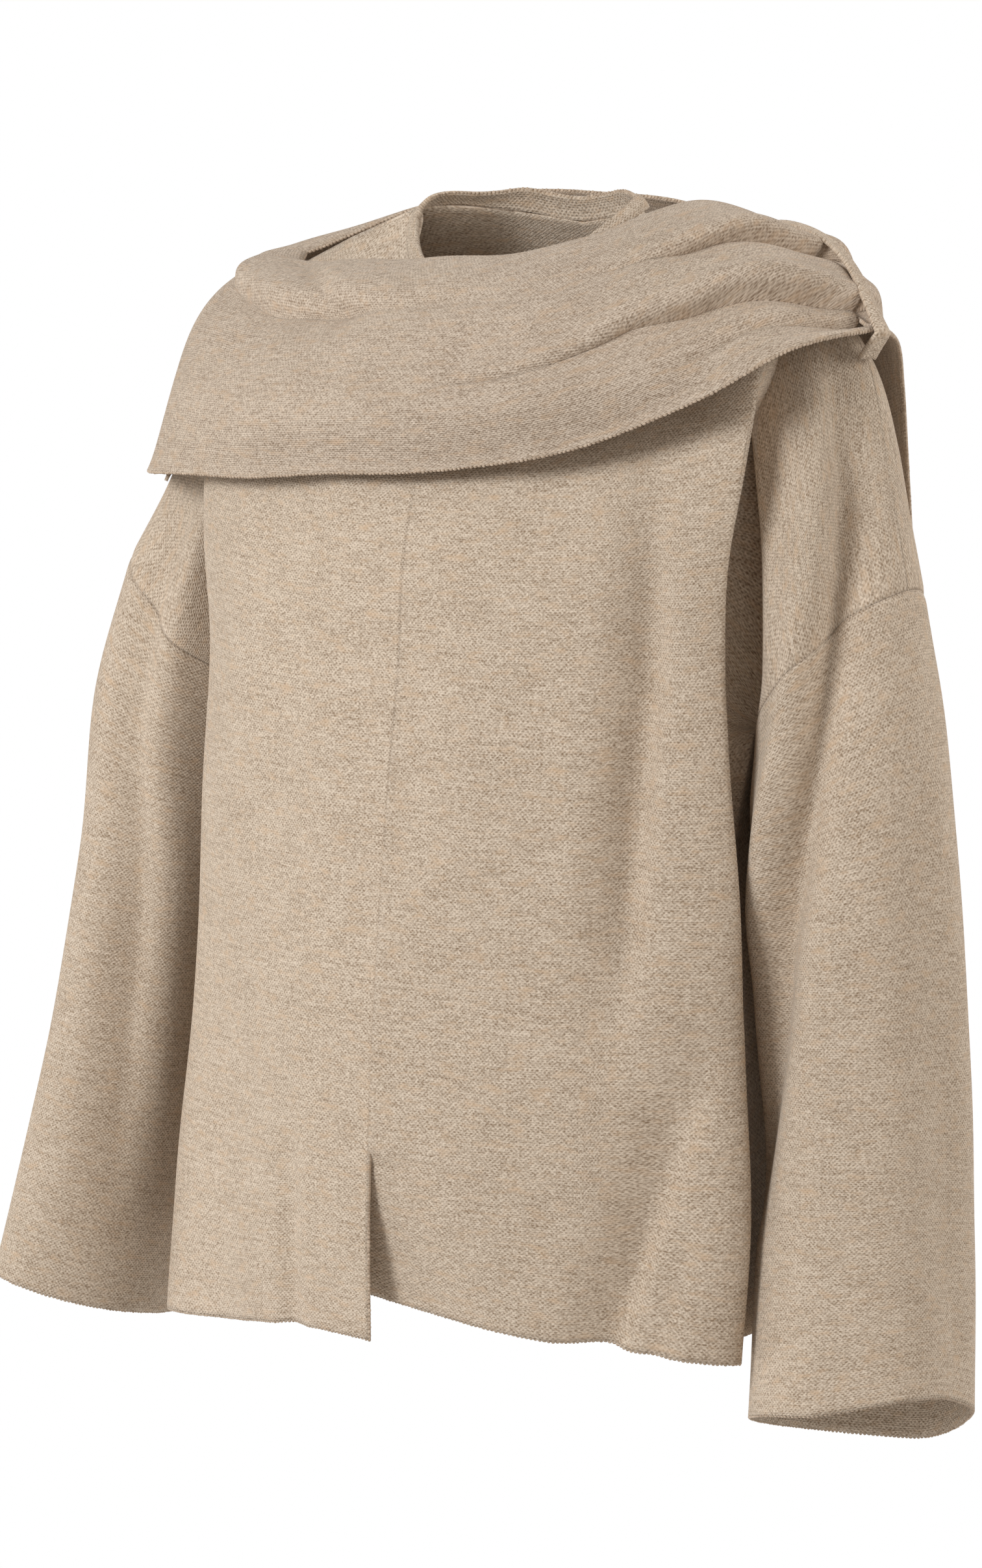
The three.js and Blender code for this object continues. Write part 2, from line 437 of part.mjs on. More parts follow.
// Half of a body panel: the torso, the cloth over the upper arm and the cloth under it to the side seam.
function addPanelHalf(cloth, front, side, centreLine) {
  const sections = front ? FRONT_SECTIONS : BACK_SECTIONS;
  const folds = side > 0 ? LEFT_ARM_FOLDS : RIGHT_ARM_FOLDS;
  const rings = side > 0 ? LEFT_ARM_RINGS : RIGHT_ARM_RINGS;
  const sleeve = side > 0 ? LEFT_SLEEVE : RIGHT_SLEEVE;
  const lastRing = rings.length - 1;
  const faceSign = front ? 1 : -1;
  const gap = -faceSign * SEAM_GAP * 0.5;
  const place = (point) => new THREE.Vector3(side * point.x, point.y, point.z);
  const rowCount = SHOULDER_ROWS + SKIRT_ROWS;
  const columns = 5 * COLUMNS_PER_STEP;
  const lastSection = sections.length;
  const armpit = armPoint(rings, lastRing, TROUGH_ANGLE * faceSign);
  const lines = [];
  for (let j = 0; j <= rowCount; j++) {
    const row = j <= SHOULDER_ROWS
      ? (UNDERARM_ROW * j) / SHOULDER_ROWS
      : UNDERARM_ROW + ((lastSection - UNDERARM_ROW) * (j - SHOULDER_ROWS)) / SKIRT_ROWS;
    const curve = sectionCurve(sections, front, side, row);
    const line = [];
    const armpitPull = row <= UNDERARM_ROW
      ? Math.max(0, row - ARMPIT_ROW) / (UNDERARM_ROW - ARMPIT_ROW)
      : Math.max(0, 1 - ARMPIT_RELEASE * (row - UNDERARM_ROW));
    for (let i = 0; i <= columns; i++) {
      const point = curve.getPoint(i / columns);
      if (i > 4 * COLUMNS_PER_STEP) {
        const wall = (i - 4 * COLUMNS_PER_STEP) / COLUMNS_PER_STEP;
        const end = curve.getPoint(1);
        point.addScaledVector(armpit.clone().sub(end), smoothstep(armpitPull) * wall * wall);
      }
      if (front) point.y += frontFoldDepth(side, point.x, point.z);
      if (j === 0 && i >= SHOULDER_START) {
        point.copy(shoulderSeamPoint(i / COLUMNS_PER_STEP));
        point.y += gap;
      }
      if (front && side > 0 && point.z < SLIT_TOP) {
        const open = smoothstep((SLIT_TOP - point.z) / (SLIT_TOP - FRONT_SECTIONS.at(-1).centreZ));
        const near = Math.max(0, 1 - point.x / SLIT_SPREAD) ** 2;
        point.x -= SLIT_UNDERLAP * open ** SLIT_CURL * near;
        point.y += SLIT_SETBACK * open * near;
      }
      if (i === 0 && centreLine) line.push(centreLine[j]);
      else {
        if (i === 0 && front) point.x += SEAM_GAP * 0.5;
        const index = cloth.add(place(point));
        if (i === 0) cloth.seamAxes.set(index, "x");
        if (j === 0 && i >= SHOULDER_START) cloth.seamAxes.set(index, "y");
        line.push(index);
      }
    }
    lines.push(line);
  }
  const flip = side * faceSign > 0;
  const weave = (a, b) => (flip ? cloth.weave(a, b) : cloth.weave(b, a));
  for (let j = 0; j < rowCount; j++) weave(lines[j], lines[j + 1]);

  // Over the upper arm
  const armLines = [];
  for (let j = 0; j <= SHOULDER_ROWS; j++) {
    const along = j / SHOULDER_ROWS;
    const at = along * lastRing;
    const troughIndex = lines[j][columns];
    const trough = place(cloth.points[troughIndex]);
    const start = armPoint(rings, at, TROUGH_ANGLE * faceSign);
    const line = [troughIndex];
    for (let i = 1; i <= ARM_COLUMNS; i++) {
      const share = i / ARM_COLUMNS;
      const angle = TROUGH_ANGLE * (1 - share) * faceSign;
      const point = creased(rings, at, angle, folds, along);
      const pull = 1 - smoothstep(share / ARMPIT_BLEND);
      point.addScaledVector(trough.clone().sub(start), pull);
      if (i === ARM_COLUMNS) point.y += gap;
      const index = cloth.add(place(point));
      if (j === SHOULDER_ROWS) cloth.seamNormals.set(index, place(armholeNormal(sleeve, angle)));
      if (i === ARM_COLUMNS || j === 0) cloth.seamAxes.set(index, "y");
      line.push(index);
    }
    armLines.push(line);
  }
  for (let j = 0; j < SHOULDER_ROWS; j++) weave(armLines[j], armLines[j + 1]);

  // Under the arm, to the side seam
  const sideLines = [];
  for (let j = SHOULDER_ROWS; j <= rowCount; j++) {
    const below = (j - SHOULDER_ROWS) / SKIRT_ROWS;
    const at = below * (SIDE_SEAM.length - 1);
    const edgeIndex = lines[j][columns];
    const edge = place(cloth.points[edgeIndex]);
    const sideName = side > 0 ? "left" : "right";
    const seam = new THREE.Vector3(
      between(SIDE_SEAM, sideName, at),
      between(SIDE_SEAM, "y", at) + gap,
      between(SIDE_SEAM, "z", at) + SIDE_DROP[sideName] * below,
    );
    const line = [edgeIndex];
    for (let i = 1; i <= SIDE_COLUMNS; i++) {
      const share = i / SIDE_COLUMNS;
      const point = edge.clone().lerp(seam, share);
      if (j === SHOULDER_ROWS) {
        const angle = THREE.MathUtils.lerp(TROUGH_ANGLE, Math.PI, share) * faceSign;
        point.copy(armPoint(rings, lastRing, angle));
        if (i === SIDE_COLUMNS) point.y += gap;
      }
      const index = cloth.add(place(point));
      if (i === SIDE_COLUMNS) cloth.seamAxes.set(index, "y");
      line.push(index);
    }
    sideLines.push(line);
  }
  for (let j = 0; j < SKIRT_ROWS; j++) weave(sideLines[j], sideLines[j + 1]);
  return lines.map((line) => line[0]);
}

function makeFront(name, side) {
  const cloth = new Cloth();
  addPanelHalf(cloth, true, side, null);
  return cloth.solid(name, BEIGE, WALL);
}

function makeBack() {
  const cloth = new Cloth();
  const centreLine = addPanelHalf(cloth, false, 1, null);
  addPanelHalf(cloth, false, -1, centreLine);
  return cloth.solid("back", BEIGE, WALL);
}

function makeSleeve(name, side, rings, folds) {
  const cloth = new Cloth();
  const last = rings.length - 1;
  const lines = [];
  for (let j = 0; j <= SLEEVE_RINGS; j++) {
    const part = j / SLEEVE_RINGS;
    const line = [];
    for (const angle of sleeveAngles()) {
      const point = creased(rings, part * last, angle, folds, 1 + part);
      if (j === 0) {
        const next = armPoint(rings, RING_STEP, angle);
        const gap = THREE.MathUtils.lerp(SLEEVE_GAP, UNDERARM_GAP, (angle / Math.PI) ** 2);
        point.addScaledVector(next.sub(armPoint(rings, 0, angle)).normalize(), gap);
      }
      point.x *= side;
      const index = cloth.add(point);
      if (j === 0) {
        const normal = armholeNormal(rings, angle);
        normal.x *= side;
        cloth.seamNormals.set(index, normal);
      }
      line.push(index);
    }
    line.push(line[0]);
    lines.push(line);
  }
  for (let j = 0; j < SLEEVE_RINGS; j++) {
    if (side > 0) cloth.weave(lines[j + 1], lines[j]);
    else cloth.weave(lines[j], lines[j + 1]);
  }
  return cloth.solid(name, BEIGE, WALL);
}

// A point of the scarf between its edges, standing out from the straight line between them.
function scarfPoint(rows, at, across, pleats) {
  const pick = (column) => between(rows, column, at);
  const low = new THREE.Vector3(pick("lowX"), pick("lowY"), pick("lowZ"));
  const high = new THREE.Vector3(pick("highX"), pick("highY"), pick("highZ"));
  const point = low.clone().lerp(high, across);
  const outwards = new THREE.Vector3(low.x + high.x, (low.y + high.y) * SCARF_FORWARD, 0).normalize();
  const along = high.clone().sub(low).normalize();
  outwards.addScaledVector(along, -outwards.dot(along)).normalize();
  const fullness = Math.log(0.5) / Math.log(pick("crest"));
  let height = pick("bulge") * Math.max(0, Math.sin(Math.PI * across ** fullness)) ** SCARF_ROUNDNESS;
  for (const pleat of pleats) {
    const part = (at - pleat.from) / (pleat.to - pleat.from);
    if (part <= 0 || part >= 1) continue;
    const away = (across - THREE.MathUtils.lerp(pleat.acrossFrom, pleat.acrossTo, part)) / pleat.width;
    const fade = smoothstep(part / PLEAT_START) * (1 - smoothstep((part - PLEAT_END) / (1 - PLEAT_END)));
    height -= pleat.depth * fade * Math.exp(-away * away);
  }
  return point.addScaledVector(outwards, height);
}

// The scarf's surface near the left strap, where at runs on from the front stretch into the tail.
function strapScarfPoint(at, across) {
  const last = SCARF_FRONT.length - 1;
  return at <= last ? scarfPoint(SCARF_FRONT, at, across, []) : scarfPoint(SCARF_TAIL, at - last, across, []);
}

// The outward direction where the front stretch ends and the tail begins.
function strapScarfNormal(across) {
  const last = SCARF_FRONT.length - 1;
  const along = strapScarfPoint(last + STRAP_STEP, across).sub(strapScarfPoint(last - STRAP_STEP, across));
  const low = Math.max(0, across - STRAP_STEP);
  const high = Math.min(1, across + STRAP_STEP);
  const up = strapScarfPoint(last, high).sub(strapScarfPoint(last, low));
  return along.cross(up).normalize();
}

// One stretch of the scarf. strapEnd is the column where it meets another stretch under the left strap.
function makeScarfStretch(name, { rows, columns, bands, pleats, strapEnd, flip }) {
  const cloth = new Cloth();
  const last = rows.length - 1;
  const lines = [];
  for (let i = 0; i <= columns; i++) {
    const line = [];
    for (let j = 0; j <= bands; j++) {
      const across = j / bands;
      const point = scarfPoint(rows, (last * i) / columns, across, pleats);
      if (i === strapEnd && i === 0) {
        const next = scarfPoint(rows, STRAP_STEP, across, pleats);
        point.addScaledVector(next.sub(point).normalize(), TAIL_GAP);
      }
      const index = cloth.add(point);
      if (i === strapEnd) cloth.seamNormals.set(index, strapScarfNormal(across));
      else if (i === 0) cloth.seamAxes.set(index, "y");
      line.push(index);
    }
    lines.push(line);
  }
  for (let i = 0; i < columns; i++) {
    if (flip) cloth.weave(lines[i], lines[i + 1]);
    else cloth.weave(lines[i + 1], lines[i]);
  }
  return cloth.solid(name, SCARF_BEIGE, WALL);
}

// The neckband stands on the neckline all round.
function makeNeckband() {
  const cloth = new Cloth();
  const [centre, quarter, shoulder] = NECK_AND_SHOULDER;
  const corner = (row, side, face) => new THREE.Vector3(side * row.x, row[`${face}Y`], row[`${face}Z`]);
  const ring = new THREE.CatmullRomCurve3([
    corner(centre, 1, "back"), corner(quarter, 1, "back"), corner(shoulder, 1, "back"),
    corner(quarter, 1, "front"), corner(centre, 1, "front"), corner(quarter, -1, "front"),
    corner(shoulder, -1, "back"), corner(quarter, -1, "back"),
  ], true, "centripetal");
  const lower = [];
  const upper = [];
  for (let i = 0; i < NECKBAND_SIDES; i++) {
    const foot = ring.getPoint(i / NECKBAND_SIDES);
    const inwards = new THREE.Vector3(-foot.x, -foot.y, 0).normalize();
    foot.addScaledVector(inwards, NECKBAND_INSET);
    foot.z += NECKBAND_RISE;
    const top = foot.clone().addScaledVector(inwards, NECKBAND_LEAN);
    top.z += NECKBAND_HEIGHT;
    lower.push(cloth.add(foot));
    upper.push(cloth.add(top));
  }
  lower.push(lower[0]);
  upper.push(upper[0]);
  cloth.weave(upper, lower);
  return cloth.solid("neckband", BEIGE, NECKBAND_WALL);
}

// A strap along a line of points, each with the direction across the strap and the one it stands off along.
function makeStrap(name, placeAt, flip) {
  const cloth = new Cloth();
  const lines = [];
  for (let i = 0; i <= STRAP_COLUMNS; i++) {
    lines.push([-0.5, 0, 0.5].map((share) => cloth.add(placeAt(i / STRAP_COLUMNS, share * STRAP_WIDTH))));
  }
  for (let i = 0; i < STRAP_COLUMNS; i++) {
    if (flip) cloth.weave(lines[i + 1], lines[i]);
    else cloth.weave(lines[i], lines[i + 1]);
  }
  return cloth.solid(name, BEIGE, STRAP_WALL);
}

// The left strap: the scarf's surface moved out, and the turned ends.
function leftStrapPoint(along, offset) {
  const onScarf = THREE.MathUtils.clamp((along - LEFT_STRAP_TURN) / (1 - 2 * LEFT_STRAP_TURN), 0, 1);
  const across = THREE.MathUtils.lerp(LEFT_STRAP_FROM, LEFT_STRAP_TO, onScarf);
  const inside = THREE.MathUtils.clamp(across, 0, 1);
  const last = SCARF_FRONT.length - 1;
  const rowLength = strapScarfPoint(last, inside).distanceTo(strapScarfPoint(last - 1, inside));
  const at = last - offset / rowLength;
  const point = strapScarfPoint(at, inside);
  const above = strapScarfPoint(at, Math.min(1, inside + STRAP_STEP));
  const up = above.sub(strapScarfPoint(at, Math.max(0, inside - STRAP_STEP)));
  const round = strapScarfPoint(at + STRAP_STEP, inside).sub(strapScarfPoint(at - STRAP_STEP, inside));
  const outwards = round.clone().cross(up).normalize();
  point.addScaledVector(up.normalize(), (across - inside) * STRAP_REACH);
  point.addScaledVector(outwards, STRAP_GAP + STRAP_WALL);
  const turned = 1 - Math.min(along, 1 - along) / LEFT_STRAP_TURN;
  if (turned <= 0) return point;
  const end = new THREE.Vector3().copy(along < 0.5 ? LEFT_STRAP_TOP : LEFT_STRAP_FOOT);
  end.addScaledVector(round.normalize(), -offset);
  return point.lerp(end, turned);
}

function rightStrapPoint(along, offset) {
  const at = THREE.MathUtils.lerp(RIGHT_STRAP_FROM, RIGHT_STRAP_TO, along) * (RIGHT_ARM_RINGS.length - 1);
  const around = offset / between(RIGHT_ARM_RINGS, "deep", at);
  const angle = RIGHT_STRAP_ANGLE + around;
  const point = armPoint(RIGHT_ARM_RINGS, at, angle);
  const outwards = new THREE.Vector3(Math.cos(angle), -Math.sin(angle), RIGHT_STRAP_TILT).normalize();
  point.addScaledVector(outwards, STRAP_GAP + STRAP_WALL);
  point.x *= -1;
  return point;
}

const garment = new THREE.Group();
garment.add(makeFront("front_left", 1));
garment.add(makeFront("front_right", -1));
garment.add(makeBack());
garment.add(makeSleeve("sleeve_left", 1, LEFT_SLEEVE, LEFT_ARM_FOLDS));
garment.add(makeSleeve("sleeve_right", -1, RIGHT_SLEEVE, RIGHT_ARM_FOLDS));
garment.add(makeNeckband());
garment.add(makeScarfStretch("scarf_front", SCARF_STRETCHES.front));
garment.add(makeScarfStretch("scarf_back", SCARF_STRETCHES.back));
garment.add(makeScarfStretch("scarf_tail", SCARF_STRETCHES.tail));
garment.add(makeStrap("strap_left", leftStrapPoint, false));
garment.add(makeStrap("strap_right", rightStrapPoint, false));

export default garment;
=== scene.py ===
# %% [markdown]
# # A knitted pullover with a scarf round its shoulders
#
# This script dresses a CAD model of a garment. The CAD solids are thin walls with the right shape and size.
# Here each of them gets a smoother shell of cloth in its place, with the small folds, the seams, the linked
# edges and the colour of the knit. Lengths in the tables are millimetres, as on a paper pattern, and each
# mesh is turned into metres when it is made.

# %% Loading the frame
import math
import bpy
import numpy as np
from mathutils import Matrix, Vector


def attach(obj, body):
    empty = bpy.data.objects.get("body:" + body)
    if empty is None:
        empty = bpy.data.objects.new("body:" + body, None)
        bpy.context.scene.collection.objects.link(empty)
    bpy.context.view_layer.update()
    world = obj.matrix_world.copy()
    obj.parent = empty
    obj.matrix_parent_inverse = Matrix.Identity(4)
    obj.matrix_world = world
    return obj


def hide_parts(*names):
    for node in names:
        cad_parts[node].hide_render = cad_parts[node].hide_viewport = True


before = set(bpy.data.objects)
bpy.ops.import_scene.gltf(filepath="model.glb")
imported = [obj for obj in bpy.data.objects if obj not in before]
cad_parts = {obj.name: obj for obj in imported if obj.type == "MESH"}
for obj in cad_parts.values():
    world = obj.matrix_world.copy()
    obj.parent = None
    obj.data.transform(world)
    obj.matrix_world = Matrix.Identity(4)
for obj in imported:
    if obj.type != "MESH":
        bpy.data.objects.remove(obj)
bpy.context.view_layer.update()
MM = 0.001

# %% [markdown]
# ## The pattern's sizes
#
# A drape can be simulated, or it can be written down as sections, the way a boat or a shoe is described.
# Sections are the better choice for a garment that has to hang exactly as in one picture. Each row of a table
# is one section, and the curve between two rows is smooth. The front and the back are described from the
# middle outwards: at the middle, at 45, 80 and 126 mm, at the edge of the deep fold beside the arm, and at
# the bottom of that fold.

# %% Cloth and tables of the body
WALL = 2.2          # thickness of the knit
SEAM_GAP = 0.12     # what shows of a seam is a fine line, finer than the CAD's clearance
CENTRE_GAP = -0.4   # at the centre front the two edges are pressed into one another
TROUGH_ANGLE = math.radians(152)  # where the ring round the arm passes the deep fold at the armpit
UNDERARM_ROW = 6    # section at the underarm, counted from the shoulder line
SEAM_GROOVE, GROOVE_WIDTH = 0.9, 2.6  # a seam pulls the cloth in beside it
ARM_LENGTH, SLEEVE_LENGTH = 165, 440  # from the shoulder point to the drop seam, and on to the cuff

# x, front y, front z, back y, back z
NECK_AND_SHOULDER = np.array([
    [0, -66, -62, 62, -14],
    [44, -56, -44, 50, -8],
    [76, -2, -6, -2, -6],
    [122, 0, -24, 0, -24],
    [166, 2, -44, 2, -44],
    [176, 2, -50, 2, -50],
], float)
SECTION_SPREAD = [0, 45, 80, 126]

# centre z, side z, depth at the four distances, fold's edge on the left and the right half and its depth,
# fold's bottom and its depth
SECTION_COLUMNS = ["centreZ", "sideZ", "centre", "neck", "chest", "pocket", "left", "right", "edge",
                   "trough", "troughY"]
FRONT_SECTIONS = np.array([
    [-92, -62, -76, -72, -52, -46, 170, 166, -38, 173, -10],
    [-118, -98, -97, -95, -86, -78, 178, 171, -60, 172, -16],
    [-152, -140, -124, -122, -112, -100, 181, 172, -80, 171, -20],
    [-200, -192, -138, -136, -128, -114, 174, 171, -84, 170, -22],
    [-248, -244, -142, -141, -134, -119, 172, 168, -84, 169, -24],
    [-289, -289, -149, -147, -138, -123, 175, 170, -84, 168, -40],
    [-380, -382, -162, -159, -148, -128, 181, 178, -80, 157, -47],
    [-470, -474, -172, -168, -156, -132, 183, 188, -75, 160, -46],
    [-560, -568, -178, -173, -160, -136, 190, 200, -79, 162, -46],
    [-630, -654, -178, -172, -160, -136, 186, 208, -80, 162, -46],
], float)
BACK_SECTIONS = np.array([
    [-40, -72, 84, 80, 66, 50, 164, 164, 34, 173, 14],
    [-82, -104, 98, 95, 86, 74, 167, 167, 50, 172, 20],
    [-130, -142, 106, 104, 96, 84, 169, 169, 58, 171, 24],
    [-190, -192, 108, 106, 99, 87, 169, 169, 60, 170, 26],
    [-244, -244, 107, 105, 98, 86, 169, 169, 58, 169, 28],
    [-289, -289, 106, 104, 97, 84, 170, 170, 56, 168, 30],
    [-380, -382, 108, 106, 99, 86, 178, 178, 62, 160, 40],
    [-470, -474, 114, 112, 104, 90, 184, 188, 68, 162, 44],
    [-560, -568, 120, 118, 110, 95, 188, 197, 72, 168, 46],
    [-642, -656, 124, 122, 113, 98, 186, 204, 76, 168, 48],
], float)
UNDERCUT = {"front": 21, "back": 8}  # how far the cloth tucks in behind the armpit fold's edge
SLIT_SHELF = 2.8    # the left half first steps back by a little more than the knit's wall
# How the hem differs from the tables at the centre and at the side, on the left and the right half.
HEM_LIFT = {"front": {1: (17, 14), -1: (0, -18)}, "back": {1: (0, 10), -1: (0, -16)}}
SLIT_TOP, SLIT_SETBACK, SLIT_SPREAD = -514, 26, 95  # the slit starts here and opens this far, over this width
SEAM_RIDGE, RIDGE_WIDTH = 0.45, 1.5   # the centre front seam stands up a little

# Side seam below the underarm: distance from the middle on the left and the right, y, z
SIDE_SEAM = np.array([
    [162, 174, -5, -291],
    [153, 170, -2, -345],
    [158, 176, 0, -412],
    [162, 186, 2, -490],
    [163, 194, 2, -575],
    [162, 200, 2, -656],
], float)
SIDE_DROP = {1: 10, -1: -16}

# Rings round the arm: middle x, y, z, how far the outer point stands out and up, the front forward and up
ARM_RINGS = {
    1: np.array([
        [150, 2, -94, 46, 40, 32, 6],
        [168, 0, -132, 49, 44, 46, 3],
        [182, -2, -172, 46, 45, 57, 0],
        [193, -4, -212, 43, 44, 63, 0],
        [203, -5, -250, 41, 42, 67, 0],
    ], float),
    -1: np.array([
        [150, 2, -94, 40, 38, 30, 6],
        [168, 0, -132, 39, 42, 44, 3],
        [183, -2, -172, 39, 44, 55, 0],
        [198, -4, -212, 40, 44, 63, 0],
        [218, -5, -250, 44, 40, 69, 0],
    ], float),
}
SLEEVE_RINGS = {
    1: np.array([
        [203, -5, -250, 41, 42, 67, 0],
        [211, -7, -318, 50, 30, 70, 2],
        [220, -8, -400, 53, 12, 71, 6],
        [226, -8, -490, 54, 3, 72, 10],
        [229, -12, -580, 57, 4, 74, 14],
        [231, -20, -676, 61, 8, 76, 18],
    ], float),
    -1: np.array([
        [218, -5, -250, 44, 40, 69, 0],
        [235, -9, -316, 50, 24, 73, 2],
        [244, -14, -400, 48, 10, 74, 6],
        [256, -26, -490, 45, 6, 75, 10],
        [272, -38, -582, 45, 8, 76, 14],
        [290, -50, -675, 46, 10, 78, 16],
    ], float),
}
print("sections in the front and the back:", len(FRONT_SECTIONS), len(BACK_SECTIONS))

# %% [markdown]
# ## The scarf
#
# The scarf is one wide strip of the same knit. It lies over the right shoulder, crosses the chest, passes
# under a strap on the left shoulder and ends in a loose tail behind it. A table gives its lower and its upper
# edge, how far the cloth bulges between them and where across the width it bulges most.

# %% Tables of the scarf
# low x, y, z, high x, y, z, bulge, place of the crest
SCARF_FRONT = np.array([
    [-247, 0, -166, -160, 8, -36, 38, 0.66],
    [-231, -52, -163, -144, -18, -40, 37, 0.66],
    [-195, -99, -158, -112, -40, -38, 29, 0.62],
    [-130, -134, -152, -66, -66, -35, 20, 0.61],
    [-58, -151, -146, -14, -84, -32, 18, 0.61],
    [22, -154, -139, 42, -90, -28, 17, 0.61],
    [100, -142, -125, 86, -80, -17, 17, 0.61],
    [164, -116, -100, 110, -56, -5, 17, 0.61],
    [206, -78, -73, 127, -22, 1, 16, 0.61],
    [226, -13, -66, 142, 18, -16, 14, 0.61],
], float)
SCARF_BACK = np.array([
    [-247, -0.3, -166, -160, 7.7, -36, 38, 0.66],
    [-226, 54, -168, -142, 38, -24, 37, 0.63],
    [-186, 96, -174, -108, 66, -8, 27, 0.62],
    [-110, 126, -174, -56, 84, 0, 18, 0.61],
    [-10, 134, -158, 0, 90, 0, 15, 0.61],
    [82, 124, -126, 56, 82, -4, 14, 0.61],
    [146, 92, -96, 92, 58, -12, 11, 0.61],
    [180, 50, -74, 114, 28, -22, 8, 0.61],
], float)
SCARF_TAIL = np.vstack([SCARF_FRONT[-1:], np.array([
    [219, 26, -76, 140, 56, -18, 14, 0.61],
    [208, 58, -104, 130, 98, -56, 12, 0.61],
    [203, 76, -146, 122, 122, -112, 10, 0.61],
    [203, 84, -192, 118, 129, -178, 9, 0.61],
    [205, 88, -242, 116, 131, -250, 8, 0.61],
], float)])
SCARF_ROUNDNESS = 0.75  # below 1 the bulge is fuller than half a sine wave
print("scarf sections:", len(SCARF_FRONT), len(SCARF_BACK), len(SCARF_TAIL))

# %% [markdown]
# ## Helpers for smooth curves
#
# `between` reads a table at any place between its rows. It is the Catmull-Rom rule that drawing programs use,
# so the curve passes through every row. `bump` is a soft hill that folds are made from.

# %% Curves and soft hills
def smoothstep(value):
    """Goes from 0 to 1 with a soft start and a soft end."""
    value = np.clip(value, 0, 1)
    return value * value * (3 - 2 * value)


def bump(distance):
    """A soft hill of height 1 that is nearly gone at a distance of 2."""
    return np.exp(-distance * distance)


def unit(vector):
    """The same direction with length 1."""
    return vector / np.linalg.norm(vector, axis=-1, keepdims=True)


def hermite(start, end, slope_in, slope_out, t):
    """The cubic from start to end with the given slopes, where t runs from 0 to 1."""
    return (start + slope_in * t + (3 * (end - start) - 2 * slope_in - slope_out) * t ** 2
            + (slope_in + slope_out - 2 * (end - start)) * t ** 3)


def between(rows, at):
    """Rows of a table at the places in the array at, which run from 0 to the last row."""
    at = np.atleast_1d(np.asarray(at, float))
    last = len(rows) - 1
    place = np.clip(at, 0, last)
    row = np.minimum(place.astype(int), last - 1)
    t = (place - row)[:, None]
    padded = np.vstack([2 * rows[:1] - rows[1:2], rows, 2 * rows[-1:] - rows[-2:-1]])
    before, first, second, after = (padded[row + k] for k in range(4))
    return hermite(first, second, (second - before) / 2, (after - first) / 2, t)


def spaced_curve(padded, place):
    """A smooth curve that takes each span at the points' own spacing, so that it never loops.

    The points have one more at each end than the curve passes through.
    """
    span = np.minimum(place.astype(int), len(padded) - 4)
    p0, p1, p2, p3 = (padded[span + k] for k in range(4))
    d0, d1, d2 = (np.maximum(np.linalg.norm(b - a, axis=1, keepdims=True) ** 0.5, 1e-4)
                  for a, b in ((p0, p1), (p1, p2), (p2, p3)))
    slope_in = ((p1 - p0) / d0 - (p2 - p0) / (d0 + d1) + (p2 - p1) / d1) * d1
    slope_out = ((p2 - p1) / d1 - (p3 - p1) / (d1 + d2) + (p3 - p2) / d2) * d1
    return hermite(p1, p2, slope_in, slope_out, (place - span)[:, None])


def centripetal(points, shares):
    """The spaced curve through the points of one section."""
    padded = np.vstack([2 * points[0] - points[1], points, 2 * points[-1] - points[-2]])
    spans = len(points) - 1
    return spaced_curve(padded, np.clip(shares * spans, 0, spans))


print("a table half-way between its first two rows:", between(SIDE_SEAM, 0.5)[0])

# %% [markdown]
# ## From a sheet of points to a wall of knit
#
# Every piece starts as a grid of points, its outer face. A copy of the grid, moved in along the normals by
# the thickness of the knit, is the inner face, and a strip closes each free edge. That is what a Solidify
# modifier does too, but done here the two faces also share a UV map that is measured in millimetres of knit,
# so that one material fits every piece. Two patches of one piece are sewn by giving them the same points.

# %% Sheets of cloth
class Sheet:
    """Points that several patches may share, four-sided cells and a place in the knit for each point."""

    def __init__(self):
        self.points, self.knit, self.cells, self.count = [], [], [], 0

    def patch(self, points, knit, flip):
        """Adds a grid of points and weaves it. Returns the grid of point numbers."""
        rows, columns = points.shape[:2]
        index = self.count + np.arange(rows * columns).reshape(rows, columns)
        self.points.append(points.reshape(-1, 3))
        self.knit.append(knit.reshape(-1, 2))
        self.count += rows * columns
        a, b, c, d = index[:-1, :-1], index[1:, :-1], index[1:, 1:], index[:-1, 1:]
        ring = (a, d, c, b) if flip else (a, b, c, d)
        self.cells.append(np.stack(ring, -1).reshape(-1, 4))
        return index

    def made(self, weld=0.02):
        """All points, their places in the knit and the cells, with points that coincide made one."""
        points, knit, cells = np.vstack(self.points), np.vstack(self.knit), np.vstack(self.cells)
        keys = np.round(points / weld).astype(np.int64)
        _, first, same = np.unique(keys, axis=0, return_index=True, return_inverse=True)
        return points[first], knit, same.ravel()[cells], cells


def face_normals(points, cells):
    """Across each cell, as long as twice its area, so that large cells count more."""
    a, b, c, d = (points[cells[:, k]] for k in range(4))
    return np.cross(c - a, d - b)


def point_normals(points, cells):
    """The mean direction of the cells round each point."""
    faces = face_normals(points, cells)
    normals = np.zeros_like(points)
    for k in range(4):
        np.add.at(normals, cells[:, k], faces)
    return normals / np.maximum(np.linalg.norm(normals, axis=1, keepdims=True), 1e-12)


free_edges = {}  # for each piece, the middle line of its raw edges as pairs of points


